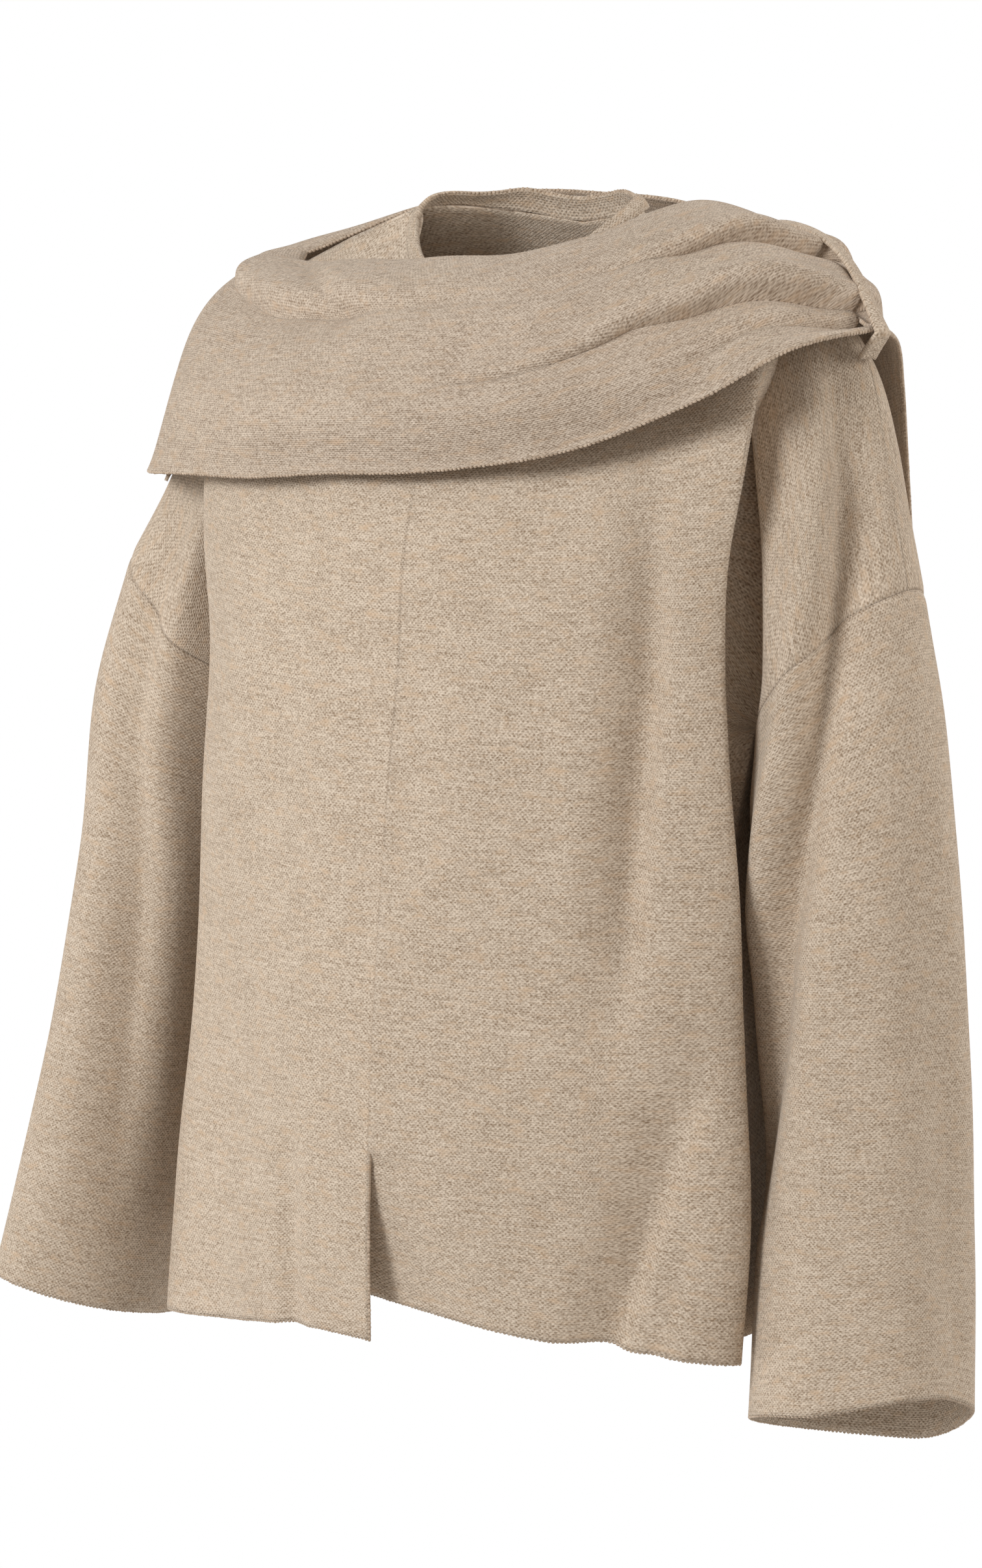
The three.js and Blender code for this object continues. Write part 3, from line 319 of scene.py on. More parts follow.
def wall_mesh(name, sheet, wall=WALL, material=None):
    """A closed mesh with an outer face, an inner face and the free edges closed, in metres."""
    points, knit, cells, raw = sheet.made()
    inner = points - point_normals(points, cells) * wall
    count = len(points)
    sides = np.vstack([cells[:, [k, (k + 1) % 4]] for k in range(4)])
    raw_sides = np.vstack([raw[:, [k, (k + 1) % 4]] for k in range(4)])
    there = {(a, b) for a, b in sides.tolist()}
    free = np.array([(b, a) not in there for a, b in sides.tolist()])
    edge, raw_edge = sides[free], raw_sides[free]
    faces = np.vstack([cells, cells[:, ::-1] + count,
                       np.column_stack([edge[:, 1], edge[:, 0], edge[:, 0] + count, edge[:, 1] + count])])
    corners = np.vstack([knit[raw].reshape(-1, 2), knit[raw[:, ::-1]].reshape(-1, 2),
                         np.stack([knit[raw_edge[:, 1]], knit[raw_edge[:, 0]],
                                   knit[raw_edge[:, 0]], knit[raw_edge[:, 1]]], 1).reshape(-1, 2)])
    mesh = bpy.data.meshes.new(name)
    mesh.from_pydata((np.vstack([points, inner]) * MM).tolist(), [], faces.tolist())
    layer = mesh.uv_layers.new(name="knit")
    layer.data.foreach_set("uv", (corners * MM).ravel())
    mesh.polygons.foreach_set("use_smooth", [True] * len(mesh.polygons))
    if material:
        mesh.materials.append(material)
    mesh.validate()
    made = bpy.data.objects.new(name, mesh)
    bpy.context.scene.collection.objects.link(made)
    free_edges[name] = (points + inner)[edge] / 2
    return made


def run_lengths(points, axis):
    """How far along the cloth each row or column of a grid lies, as the mean over the other direction."""
    steps = np.linalg.norm(np.diff(points, axis=axis), axis=2).mean(axis=1 - axis)
    return np.concatenate([[0], np.cumsum(steps)])


def knit_places(points, along_start=0.0, across_start=0.0):
    """A place in the knit for each point of a grid: across the wales and along them, in millimetres."""
    down, over = run_lengths(points, 0) + along_start, run_lengths(points, 1) + across_start
    return np.stack(np.broadcast_arrays(over[None, :], down[:, None]), -1)


print("the knit's wall is", WALL, "mm thick")

# %% [markdown]
# ## Folds
#
# The eye reads cloth by its folds. A fold here is a soft valley along a line, placed where the real one
# hangs: two ends, a depth and a width. Similar ones are given to the sides that the picture doesn't show.
# Small waves with different lengths are added on top, because no real cloth hangs perfectly smooth.

# %% Folds of the body and the arms
# side, x and z of the upper end, x and z of the lower end, depth, width
FRONT_FOLDS = [
    (1, 137, -130, 124, -480, 22.0, 13),
    (1, 170, -440, 100, -720, 19.0, 13),
    (1, 172, -520, 136, -690, 6.0, 8),
    (1, 60, -330, 34, -560, 2.5, 26),
    (-1, 62, -480, 58, -730, 6.0, 9),
    (-1, 120, -300, 104, -600, 3.0, 22),
]
BACK_FOLDS = [
    (1, 62, -280, 84, -720, 6.0, 18),
    (1, 134, -220, 120, -560, 7.0, 15),
    (-1, 70, -240, 96, -720, 7.0, 19),
    (-1, 138, -260, 118, -600, 6.0, 14),
    (-1, 34, -340, 44, -720, 4.0, 13),
]
# depth, width in degrees, and the path: along the arm (0 shoulder point, 1 seam, 2 cuff), angle, share of the
# depth
ARM_FOLDS = {
    1: [(21.0, 16, [(0.1, 30, 0), (0.4, 33, 0.55), (0.6, 35, 0.8), (0.75, 42, 0.95), (0.96, 56, 1),
                    (1.2, 85, 1), (1.43, 122, 0.9), (1.8, 150, 0)]),
        (6.0, 16, [(0.35, 138, 0), (0.6, 137, 1), (0.85, 138, 1), (1.0, 142, 0.3), (1.15, 146, 0)]),
        (5.0, 17, [(1.2, 22, 0), (1.5, 12, 1), (1.8, 4, 1), (2.2, -6, 0.6)]),
        (9.0, 16, [(0.4, -60, 0), (0.8, -78, 1), (1.2, -108, 0.9), (1.6, -132, 0)])],
    -1: [(10.0, 15, [(0.4, 66, 0), (0.8, 76, 1), (1.2, 96, 1), (1.6, 124, 0.8), (1.9, 140, 0)]),
         (5.0, 17, [(1.1, 20, 0), (1.4, 28, 1), (1.8, 36, 0.8), (2.2, 42, 0)]),
         (9.0, 16, [(0.4, -50, 0), (0.8, -72, 1), (1.2, -104, 0.9), (1.7, -134, 0)])],
}
STEEP_SIDE, SLOW_SIDE, FOLD_RIDGE = 1.35, 1.5, 0.3  # how lopsided a fold in the arm is


def line_folds(folds, side, x, z):
    """Depth of the straight folds of one half of the body, which are deepest in the middle."""
    depth = np.zeros_like(x)
    for fold_side, from_x, from_z, to_x, to_z, deep, wide in folds:
        if fold_side != side:
            continue
        part = (z - from_z) / (to_z - from_z)
        inside = (part > 0) & (part < 1)
        away = (x - (from_x + (to_x - from_x) * part)) / wide
        depth += np.where(inside, deep * np.sin(np.pi * np.clip(part, 0, 1)) * bump(away), 0)
    return depth


def arm_folds(side, along, angle):
    """Depth of an arm's folds: steep on the side that the path turns to, with a soft ridge above it."""
    depth = np.zeros(np.shape(along))
    for deep, wide, path in ARM_FOLDS[side]:
        table = np.array(path, float)
        place = np.interp(along, table[:, 0], np.arange(len(table)))
        middle_and_share = between(table[:, 1:], np.ravel(place)).reshape(*np.shape(along), 2)
        turn = angle - np.radians(middle_and_share[..., 0])
        away = np.arctan2(np.sin(turn), np.cos(turn)) / math.radians(wide)
        ahead = away * math.copysign(1, path[-1][1] - path[0][1])
        valley = np.where(ahead > 0, bump(away * STEEP_SIDE), bump(away / SLOW_SIDE))
        ridge = FOLD_RIDGE * bump((ahead - 1.7) / 0.75)
        depth += deep * np.clip(middle_and_share[..., 1], 0, 1) * (valley - ridge)
    return depth


def small_waves(a, b, seed, size):
    """Slow, uneven waves over two measures of the cloth in millimetres."""
    random = np.random.default_rng(seed)
    total = np.zeros(np.broadcast(a, b).shape)
    for _ in range(7):
        turn, length = random.uniform(0, 2 * np.pi), random.uniform(70, 190)
        phase = random.uniform(0, 2 * np.pi)
        total = total + np.sin(2 * np.pi * (a * math.cos(turn) + b * math.sin(turn)) / length + phase)
    return total * size / 7


print("folds on the front, the back and each arm:", len(FRONT_FOLDS), len(BACK_FOLDS),
      [len(folds) for folds in ARM_FOLDS.values()])

# %% [markdown]
# ## The front and the back
#
# Each half of a body panel is three patches that share points: the chest down to the hem, the cloth over
# the upper arm, and the cloth under the arm to the side seam. They meet in the deep fold beside the arm, and
# the chest tucks in behind that fold's edge, which makes the edge crisp and the fold dark. The front is two
# panels with a seam down the middle that opens into a slit, and the back is one panel.

# %% Body panels
SHOULDER_ROWS, SKIRT_ROWS, SPAN_COLUMNS, ARM_COLUMNS, SIDE_COLUMNS = 66, 84, 16, 54, 14


def arm_point(rings, at, angle):
    """Points of the rings round the left arm. Angle 0 is outside and a quarter turn is the front."""
    row = between(rings, np.ravel(at)).reshape(*np.shape(at), 7)
    out, front = np.cos(angle), np.sin(angle)
    return np.stack([row[..., 0] + row[..., 3] * out, row[..., 1] - row[..., 5] * front,
                     row[..., 2] + row[..., 4] * out + row[..., 6] * front], -1)


def creased(rings, side, at, angle, along):
    """Points of the rings, moved in where the arm's folds are."""
    point = arm_point(rings, at, angle)
    row = between(rings, np.ravel(at)).reshape(*np.shape(at), 7)
    inwards = row[..., :2] - point[..., :2]
    inwards /= np.linalg.norm(inwards, axis=-1, keepdims=True)
    point[..., :2] += inwards * arm_folds(side, along, angle)[..., None]
    return point


def section_points(face, side, row):
    """The named points of one section, from the middle to the bottom of the armpit fold."""
    sections = FRONT_SECTIONS if face == "front" else BACK_SECTIONS
    value = dict(zip(SECTION_COLUMNS, between(sections, row - 1)[0]))
    skirt = max(0.0, (row - UNDERARM_ROW) / (len(sections) - UNDERARM_ROW))
    lift = HEM_LIFT[face][side]
    hung = []
    for index in range(6):
        level = min(1.0, index / 4) ** 2.5
        z = value["centreZ"] + (value["sideZ"] - value["centreZ"]) * level
        z += (lift[0] + (lift[1] - lift[0]) * level) * skirt
        if index < 4:
            hung.append([SECTION_SPREAD[index], value[("centre", "neck", "chest", "pocket")[index]], z])
        elif index == 4:
            hung.append([value["left" if side > 0 else "right"], value["edge"], z])
        else:
            shift = value["right"] - value["left"] if side < 0 and row > UNDERARM_ROW else 0
            hung.append([value["trough"] + shift, value["troughY"], z])
    hung = np.array(hung)
    if row >= 1:
        return hung
    top = NECK_AND_SHOULDER[:, [0, 1, 2] if face == "front" else [0, 3, 4]]
    return top + (hung - top) * row


print("the front at the underarm:", section_points("front", 1, UNDERARM_ROW).round(1).tolist())

# %% [markdown]
# ### One half of a panel
#
# The sections become a grid of points and the folds push it in. The two grids beside it start from its last
# points, so nothing has to be joined afterwards. At the shoulder seam the front and the back are drawn to one
# line, and a fraction of a millimetre stays between them.

# %% Half a panel
def panel_half(sheet, face, side):
    """Adds one half of the front or the back, drawn for the left side and mirrored for the right."""
    sign = 1 if face == "front" else -1
    gap = -sign * SEAM_GAP / 2
    rings = ARM_RINGS[side]
    last_ring = len(rings) - 1
    last_section = len(FRONT_SECTIONS)
    rows = np.concatenate([np.linspace(0, UNDERARM_ROW, SHOULDER_ROWS + 1),
                           np.linspace(UNDERARM_ROW, last_section, SKIRT_ROWS + 1)[1:]])
    shares = np.linspace(0, 1, 5 * SPAN_COLUMNS + 1)

    # From the middle to the bottom of the armpit fold, with the tuck behind the fold's edge
    armpit = arm_point(rings, last_ring, TROUGH_ANGLE * sign)
    torso = np.zeros((len(rows), len(shares), 3))
    steps = shares * 5
    for j, row in enumerate(rows):
        line = centripetal(section_points(face, side, row), shares)
        pull = max(0, row - 3) / 3 if row <= UNDERARM_ROW else max(0, 1 - 3 * (row - UNDERARM_ROW))
        beside = np.clip(steps - 4, 0, 1)[:, None] ** 2
        tuck = UNDERCUT[face] * smoothstep((row - 1.5) / 1.5)
        tuck *= 1 - 0.5 * smoothstep((row - UNDERARM_ROW) / 2)
        line[:, 0] -= tuck * np.sin(np.pi * beside[:, 0] ** 0.33)
        line += (armpit - line[-1]) * smoothstep(pull) * beside
        torso[j] = line

    # Folds and small waves
    x, z = torso[..., 0], torso[..., 2]
    hang = smoothstep((rows - 1.5) / 3)[:, None] * (1 - smoothstep((steps - 4.2) / 0.8))[None, :]
    folds = FRONT_FOLDS if face == "front" else BACK_FOLDS
    torso[..., 1] += sign * line_folds(folds, side, x, z)
    waves = small_waves(x * side, z, 11 if face == "front" else 12, 2.2)
    torso[..., 1] += waves * hang * smoothstep(x / 30)

    # The shoulder seam, which starts where the neckline ends
    seam = steps >= 2
    index = np.minimum(steps[seam].astype(int), 4)
    part = (steps[seam] - index)[:, None]
    torso[0, seam] = NECK_AND_SHOULDER[index, :3] * (1 - part) + NECK_AND_SHOULDER[index + 1, :3] * part
    torso[0, seam, 1] += gap

    # The left half steps back behind the right one at the slit, and the two meet in a ridge above it
    if face == "front" and side > 0:
        open_ = smoothstep((SLIT_TOP - torso[..., 2]) / (SLIT_TOP - FRONT_SECTIONS[-1, 0]))
        near = np.maximum(0, 1 - torso[..., 0] / SLIT_SPREAD) ** 2
        back_step = SLIT_SHELF * smoothstep(open_ / 0.03) * near + SLIT_SETBACK * open_ * near
        torso[..., 1] += back_step
        torso[..., 0] -= (0.62 * back_step + 3) * smoothstep((open_ - 0.015) / 0.04) * near
    if face == "front":
        torso[..., 1] -= SEAM_RIDGE * bump(torso[..., 0] / RIDGE_WIDTH)
        below = smoothstep((SLIT_TOP + 6 - torso[:, 0, 2]) / 6) * (side > 0)
        torso[:, 0, 0] += CENTRE_GAP / 2 * (1 - below)
    knit = knit_places(torso)
    turned = np.array([side, 1])  # the pattern runs on across the middle instead of being mirrored
    mirror = np.array([side, 1, 1])
    flip = side * sign < 0
    sheet.patch(torso * mirror, knit * turned, flip)

    # Over the upper arm
    along = np.linspace(0, 1, SHOULDER_ROWS + 1)[:, None]
    share = np.linspace(0, 1, ARM_COLUMNS + 1)[None, :]
    at = np.broadcast_to(along * last_ring, (SHOULDER_ROWS + 1, ARM_COLUMNS + 1))
    angle = np.broadcast_to(TROUGH_ANGLE * (1 - share) * sign, at.shape)
    arm = creased(rings, side, at, angle, np.broadcast_to(along, at.shape))
    start = arm_point(rings, at[:, :1], angle[:, :1])
    trough = torso[:SHOULDER_ROWS + 1, -1:]
    arm += (trough - start) * (1 - smoothstep(share / 0.45))[..., None]
    arm[:, 0] = trough[:, 0]
    arm[:, -1, 1] += gap
    middle = between(rings, at[:, 0])[:, None, :2]
    out = arm[..., :2] - middle
    groove = SEAM_GROOVE * bump((1 - along) * ARM_LENGTH / GROOVE_WIDTH) * smoothstep(share / 0.1)
    arm[..., :2] -= out / np.linalg.norm(out, axis=-1, keepdims=True) * groove[..., None]
    arm_knit = knit_places(arm)[..., ::-1]
    sheet.patch(arm * mirror, arm_knit * turned, flip)

    # Under the arm, to the side seam
    down = np.linspace(0, 1, SKIRT_ROWS + 1)
    seam_rows = between(SIDE_SEAM, down * (len(SIDE_SEAM) - 1))
    seam_line = np.stack([seam_rows[:, 0 if side > 0 else 1], seam_rows[:, 2] + gap,
                          seam_rows[:, 3] + SIDE_DROP[side] * down], -1)[:, None]
    over = np.linspace(0, 1, SIDE_COLUMNS + 1)
    edge = torso[SHOULDER_ROWS:, -1:]
    under = edge + (seam_line - edge) * over[None, :, None]
    ring_angle = (TROUGH_ANGLE + (math.pi - TROUGH_ANGLE) * over) * sign
    under[0] = arm_point(rings, np.full(len(over), last_ring), ring_angle)
    under[0, 0] = edge[0, 0]
    under[0, -1, 1] += gap
    side_knit = knit_places(under, knit[SHOULDER_ROWS, 0, 1], knit[0, -1, 0])
    sheet.patch(under * mirror, side_knit * turned, flip)


print("rows in a panel:", SHOULDER_ROWS + SKIRT_ROWS + 1)

# %% The three panels
def front_panel(name, side):
    sheet = Sheet()
    panel_half(sheet, "front", side)
    return wall_mesh(name, sheet)


def back_panel(name):
    sheet = Sheet()
    panel_half(sheet, "back", 1)
    panel_half(sheet, "back", -1)
    return wall_mesh(name, sheet)


cloth = {
    "front_left": front_panel("knit_front_left", 1),
    "front_right": front_panel("knit_front_right", -1),
    "back": back_panel("knit_back"),
}
for node, piece in cloth.items():
    print(node, "faces:", len(piece.data.polygons))

# %% [markdown]
# ## The sleeves
#
# A sleeve is a tube of rings, and its cuff is simply where the knit ends. The right sleeve stands a little
# away from the body panels, so its rings lean outwards. A long fold starts at the shoulder and turns in under
# the arm. A wide cuff hangs lower behind than in front, so that its inside shows a little from the front.

# %% Sleeves
SLEEVE_ROWS = 150
CUFF_DROP = {1: 23, -1: 12}  # how much lower a cuff hangs behind than in front
CUFF_LIFT = {1: 19, -1: 0}   # how much a cuff is lifted at its outer side


def sleeve_tube(name, side):
    """A sleeve from the drop seam to the cuff, drawn for the left side and mirrored for the right."""
    rings = SLEEVE_RINGS[side]
    part = np.linspace(0, 1, SLEEVE_ROWS + 1)
    half = np.concatenate([np.linspace(0, TROUGH_ANGLE, ARM_COLUMNS + 1),
                           np.linspace(TROUGH_ANGLE, math.pi, SIDE_COLUMNS + 1)[1:]])
    angles = np.concatenate([half, 2 * math.pi - half[-2::-1]])
    at = np.broadcast_to((part * (len(rings) - 1))[:, None], (len(part), len(angles)))
    angle = np.broadcast_to(angles[None, :], at.shape)
    tube = creased(rings, side, at, angle, 1 + np.broadcast_to(part[:, None], at.shape))
    middle = between(rings, part * (len(rings) - 1))[:, None, :2]
    out = tube[..., :2] - middle
    length = np.linalg.norm(out, axis=-1, keepdims=True)
    around = np.broadcast_to(angles[None, :] * 65, at.shape)  # a sleeve's radius is about 65 mm
    down = np.broadcast_to(part[:, None] * SLEEVE_LENGTH, at.shape)
    wave = small_waves(around, down, 21 if side > 0 else 22, 2.4)
    wave = wave * smoothstep(part / 0.12)[:, None] * np.abs(np.sin(angle / 2))
    tube[..., :2] += out / length * wave[..., None]
    first, next_ring = (arm_point(rings, np.full(len(angles), place), angles) for place in (0.0, 0.05))
    step = next_ring - first
    tube[0] += step / np.linalg.norm(step, axis=1, keepdims=True) * SEAM_GAP
    behind = np.clip(0.5 - 0.5 * np.sin(angle), 0, 1)
    hang = CUFF_DROP[side] * behind - CUFF_LIFT[side] * np.maximum(0, np.cos(angle)) ** 1.5
    tube[..., 2] -= hang * smoothstep((part - 0.6) / 0.4)[:, None]
    groove = SEAM_GROOVE * bump(part * SLEEVE_LENGTH / GROOVE_WIDTH)[:, None]
    tube[..., :2] -= out / length * groove[..., None]
    tube[:, -1] = tube[:, 0]
    sheet = Sheet()
    sheet.patch(tube * np.array([side, 1, 1]), knit_places(tube), side > 0)
    return wall_mesh(name, sheet)


cloth["sleeve_left"] = sleeve_tube("knit_sleeve_left", 1)
cloth["sleeve_right"] = sleeve_tube("knit_sleeve_right", -1)
print("faces in a sleeve:", len(cloth["sleeve_left"].data.polygons))

# %% [markdown]
# ## The scarf's cloth
#
# The scarf is gathered where the strap holds it, so pleats run out from there and fade across the chest.
# Another starts on the right shoulder, where the strip turns the corner and rolls out a little. Gravity makes
# them lopsided: each roll hangs over a sharp crease, and below the crease the cloth comes back slowly. A
# pleat is written as a few places along the scarf, each with its place across the width and its depth. The
# lower edge is pulled in towards the front, so that the scarf doesn't stand off like a shelf.

# %% Pleats
# width of the crease above and below it, and its path: along the scarf, across it, depth
FRONT_PLEATS = [
    (0.014, 0.09, [(5.6, 0.76, 0), (6.6, 0.72, 2), (7.4, 0.69, 11), (8.2, 0.67, 13), (9.0, 0.64, 11)]),
    (0.014, 0.17, [(4.4, 0.34, 0), (5.6, 0.37, 3), (6.5, 0.44, 8), (7.4, 0.395, 16),
                   (8.6, 0.28, 14), (9.0, 0.2, 10)]),
    (0.02, 0.10, [(6.6, 0.17, 0), (7.8, 0.19, 5), (9.0, 0.1, 6)]),
    (0.03, 0.20, [(0.0, 0.80, 5), (1.3, 0.745, 11), (2.4, 0.68, 14), (3.3, 0.685, 10), (4.3, 0.71, 4),
                  (5.3, 0.74, 0)]),
    (0.03, 0.12, [(1.2, 0.97, 0), (1.9, 0.94, 4), (2.8, 0.83, 6), (3.4, 0.72, 6), (3.9, 0.66, 0)]),
]
BACK_PLEATS = [
    (0.03, 0.20, [(0.0, 0.80, 5), (1.2, 0.72, 9), (2.6, 0.66, 8), (4.2, 0.64, 5), (5.4, 0.66, 0)]),
    (0.03, 0.16, [(2.4, 0.36, 0), (3.8, 0.40, 6), (5.4, 0.42, 8), (7.0, 0.46, 9)]),
]
TAIL_PLEATS = [
    (0.02, 0.11, [(0.0, 0.64, 11), (1.2, 0.62, 8), (2.6, 0.62, 6), (5.0, 0.64, 4)]),
    (0.02, 0.17, [(0.0, 0.2, 10), (1.4, 0.3, 8), (3.0, 0.34, 6), (5.0, 0.36, 5)]),
]
EDGE_TUCK, EDGE_BAND = 19, 0.16  # the lower edge is pulled in this much, over this share of the width
LIP = 0.22          # how far a roll stands out above its crease, as a share of the depth


def pleat_height(pleats, at, across):
    """What the pleats add to the scarf's height, in millimetres."""
    height = np.zeros(np.shape(at))
    for sharp, slow, places in pleats:
        table = np.array(places, float)
        centre = np.interp(at, table[:, 0], table[:, 1])
        inside = (at >= table[0, 0]) & (at <= table[-1, 0])
        # the depth is smooth between the places
        place = np.interp(at, table[:, 0], np.arange(len(table)))
        low = np.minimum(place.astype(int), len(table) - 2)
        t = smoothstep(place - low)
        deep = (table[low, 2] * (1 - t) + table[low + 1, 2] * t) * inside
        away = across - centre
        crease = np.where(away < 0, np.exp(-np.abs(away / slow) ** 1.2), bump(away / sharp / 1.6))
        lip = bump((away - 3.2 * sharp - 0.03) / (2 * sharp + 0.02))
        height += deep * (LIP * lip - crease)
    return height


print("pleats in the scarf:", len(FRONT_PLEATS), len(BACK_PLEATS), len(TAIL_PLEATS))

# %% [markdown]
# ### The scarf's surface
#
# Between its two edges the strip bulges away from the body like a sail, fullest above the middle. The pleats
# are added to that height and fade at both edges.

# %% Scarf stretches
def scarf_surface(rows, at, across, pleats=()):
    """Points of the scarf at places along it, in rows of its table, and across it, from 0 to 1."""
    row = between(rows, np.ravel(at)).reshape(*np.shape(at), 8)
    low, high = row[..., 0:3], row[..., 3:6]
    across = np.broadcast_to(across, np.shape(at))
    point = low + (high - low) * across[..., None]
    out = np.stack([low[..., 0] + high[..., 0], (low[..., 1] + high[..., 1]) * 1.1,
                    np.zeros(np.shape(at))], -1)
    out = unit(out)
    width = unit(high - low)
    out = unit(out - width * (out * width).sum(-1, keepdims=True))
    fullness = math.log(0.5) / np.log(row[..., 7])
    hill = np.maximum(0, np.sin(np.pi * across ** fullness)) ** SCARF_ROUNDNESS
    # pleats fade at the two edges, where the strip is pulled flat
    height = row[..., 6] * hill + pleat_height(pleats, at, across) * smoothstep(across / 0.08) \
        * smoothstep((1 - across) / 0.05)
    return point + out * height[..., None]


def scarf_stretch(name, rows, columns, bands, pleats, flip, seed):
    """One stretch of the scarf, with its pleats, small waves and a lower edge that is pulled in."""
    at = np.broadcast_to(np.linspace(0, len(rows) - 1, columns + 1)[:, None], (columns + 1, bands + 1))
    across = np.broadcast_to(np.linspace(0, 1, bands + 1)[None, :], at.shape)
    points = scarf_surface(rows, at, across, pleats)
    length = run_lengths(points, 0)[:, None]
    edge = smoothstep(at / 0.5) * smoothstep((len(rows) - 1 - at) / 0.5)
    points[..., 2] += small_waves(length, across * 140, seed, 1.6) * edge
    if rows is not SCARF_TAIL:
        last = len(rows) - 1
        tuck = EDGE_TUCK * bump(across / EDGE_BAND)
        tuck *= smoothstep((at - 1) / 2.5) * smoothstep((last - 0.8 - at) / 2.5)
        points[..., 1] += tuck if rows is SCARF_FRONT else -0.8 * tuck
        points[..., 2] -= tuck * 0.16
    knit = knit_places(points)[..., ::-1]
    sheet = Sheet()
    sheet.patch(points, knit, flip)
    return wall_mesh(name, sheet)


cloth["scarf_front"] = scarf_stretch("knit_scarf_front", SCARF_FRONT, 300, 130, FRONT_PLEATS, True, 31)
cloth["scarf_back"] = scarf_stretch("knit_scarf_back", SCARF_BACK, 220, 100, BACK_PLEATS, False, 32)
cloth["scarf_tail"] = scarf_stretch("knit_scarf_tail", SCARF_TAIL, 140, 80, TAIL_PLEATS, True, 33)
print("faces in the scarf's front:", len(cloth["scarf_front"].data.polygons))

# %% [markdown]
# ## The knit
#
# The yarn is a blend of cream, sand, camel and grey fibres, so the cloth is never one colour: each stitch is
# a little lighter or darker, and short streaks follow the rows. The knit is fine, a little over a millimetre
# a stitch, and its bumps sit in offset rows like bricks. The hollows between the stitches also get painted
# shade in the colour. All of it is made from the UV map, which is measured in metres of cloth, so the
# stitches have one size on every piece. The scarf's knit shows its rows more. A light sheen stands for the
# fuzz that a soft yarn has.

# %% Knit material
def knit_material(name, light, dark, row_weight, stitch):
    """A knit of two yarn colours. Its rows show more with a greater weight. A stitch is in millimetres."""
    material = bpy.data.materials.new(name)
    material.use_nodes = True
    tree = material.node_tree
    tree.nodes.clear()
    link = tree.links.new

    def node(kind, **values):
        made = tree.nodes.new(kind)
        for key, value in values.items():
            setattr(made, key, value)
        return made

    def maths(operation, *inputs, clamp=False):
        made = node("ShaderNodeMath", operation=operation, use_clamp=clamp)
        for socket, value in zip(made.inputs, inputs):
            if isinstance(value, (int, float)):
                socket.default_value = value
            else:
                link(value, socket)
        return made.outputs[0]

    place = node("ShaderNodeUVMap", uv_map="knit")
    split = node("ShaderNodeSeparateXYZ")
    link(place.outputs[0], split.inputs[0])
    wales, courses = split.outputs[0], split.outputs[1]

    def noise(scale_across, scale_along, detail, seed):
        stretch = node("ShaderNodeMapping")
        stretch.inputs["Scale"].default_value = (scale_across, scale_along, 1)
        stretch.inputs["Location"].default_value = (seed * 3.1, seed * 1.7, seed)
        link(place.outputs[0], stretch.inputs[0])
        made = node("ShaderNodeTexNoise", noise_dimensions="3D")
        made.inputs["Scale"].default_value = 1.0
        made.inputs["Detail"].default_value = detail
        made.inputs["Roughness"].default_value = 0.6
        link(stretch.outputs[0], made.inputs["Vector"])
        return made.outputs[0]

    def swing(value, weight):
        """How far a noise lies above or below its middle, times a weight."""
        return maths("MULTIPLY", maths("SUBTRACT", value, 0.5), weight)

    # The stitches: bumps in offset rows, and the line of each row
    per_metre = 2 * math.pi / (stitch * MM)
    wobble = swing(noise(120, 120, 1, 5), 2.4)
    across = maths("ADD", maths("MULTIPLY", wales, per_metre / 2), wobble)
    along = maths("ADD", maths("MULTIPLY", courses, per_metre / 2), wobble)
    stitches = maths("MULTIPLY", maths("SINE", across), maths("SINE", along))
    rows = maths("COSINE", maths("MULTIPLY", along, 2.0))
    height = maths("ADD", maths("MULTIPLY", stitches, 1 - row_weight), maths("MULTIPLY", rows, row_weight))
    fuzz = noise(2400, 1500, 2, 2)
    surface = maths("ADD", maths("MULTIPLY", height, 0.5), fuzz)

    # The yarn's colours, with painted shade in the hollows between the stitches
    fleck = noise(760, 980, 2, 1)
    streak = noise(60, 380, 2, 3)
    patch = noise(30, 46, 2, 4)
    tone = maths("ADD", swing(fleck, 1.6), swing(streak, 0.5))
    tone = maths("ADD", tone, swing(noise(300, 420, 1, 6), 0.8))
    # The stitches' height darkens the tone in their hollows and lightens their tops: painted shade, on top of
    # the yarn's own flecks.
    tone = maths("ADD", tone, maths("MULTIPLY", height, 0.24))
    tone = maths("ADD", maths("ADD", tone, swing(patch, 0.26)), 0.55)
    ramp = node("ShaderNodeValToRGB")
    ramp.color_ramp.elements[0].color = (*dark, 1)
    ramp.color_ramp.elements[0].position = 0.12
    ramp.color_ramp.elements[1].color = (*light, 1)
    ramp.color_ramp.elements[1].position = 0.85
    link(tone, ramp.inputs[0])
    warm = node("ShaderNodeMix", data_type="RGBA", blend_type="MIX")
    camel = maths("MULTIPLY", maths("SUBTRACT", noise(75, 190, 2, 8), 0.52), 3.0, clamp=True)
    link(camel, warm.inputs["Factor"])
    link(ramp.outputs[0], warm.inputs["A"])
    warm.inputs["B"].default_value = (light[0] * 0.86, light[1] * 0.74, light[2] * 0.62, 1)

    shader = node("ShaderNodeBsdfPrincipled")
    shader.inputs["Roughness"].default_value = 0.95
    shader.inputs["Specular IOR Level"].default_value = 0.12
    shader.inputs["Sheen Weight"].default_value = 0.22
    shader.inputs["Sheen Roughness"].default_value = 0.5
    shader.inputs["Sheen Tint"].default_value = (1.0, 0.93, 0.85, 1)
    link(warm.outputs["Result"], shader.inputs["Base Color"])
    raised = node("ShaderNodeBump")
    raised.inputs["Strength"].default_value = 0.75
    raised.inputs["Distance"].default_value = 0.0007
    link(surface, raised.inputs["Height"])
    link(raised.outputs[0], shader.inputs["Normal"])
    end = node("ShaderNodeOutputMaterial")
    link(shader.outputs[0], end.inputs[0])
    return material


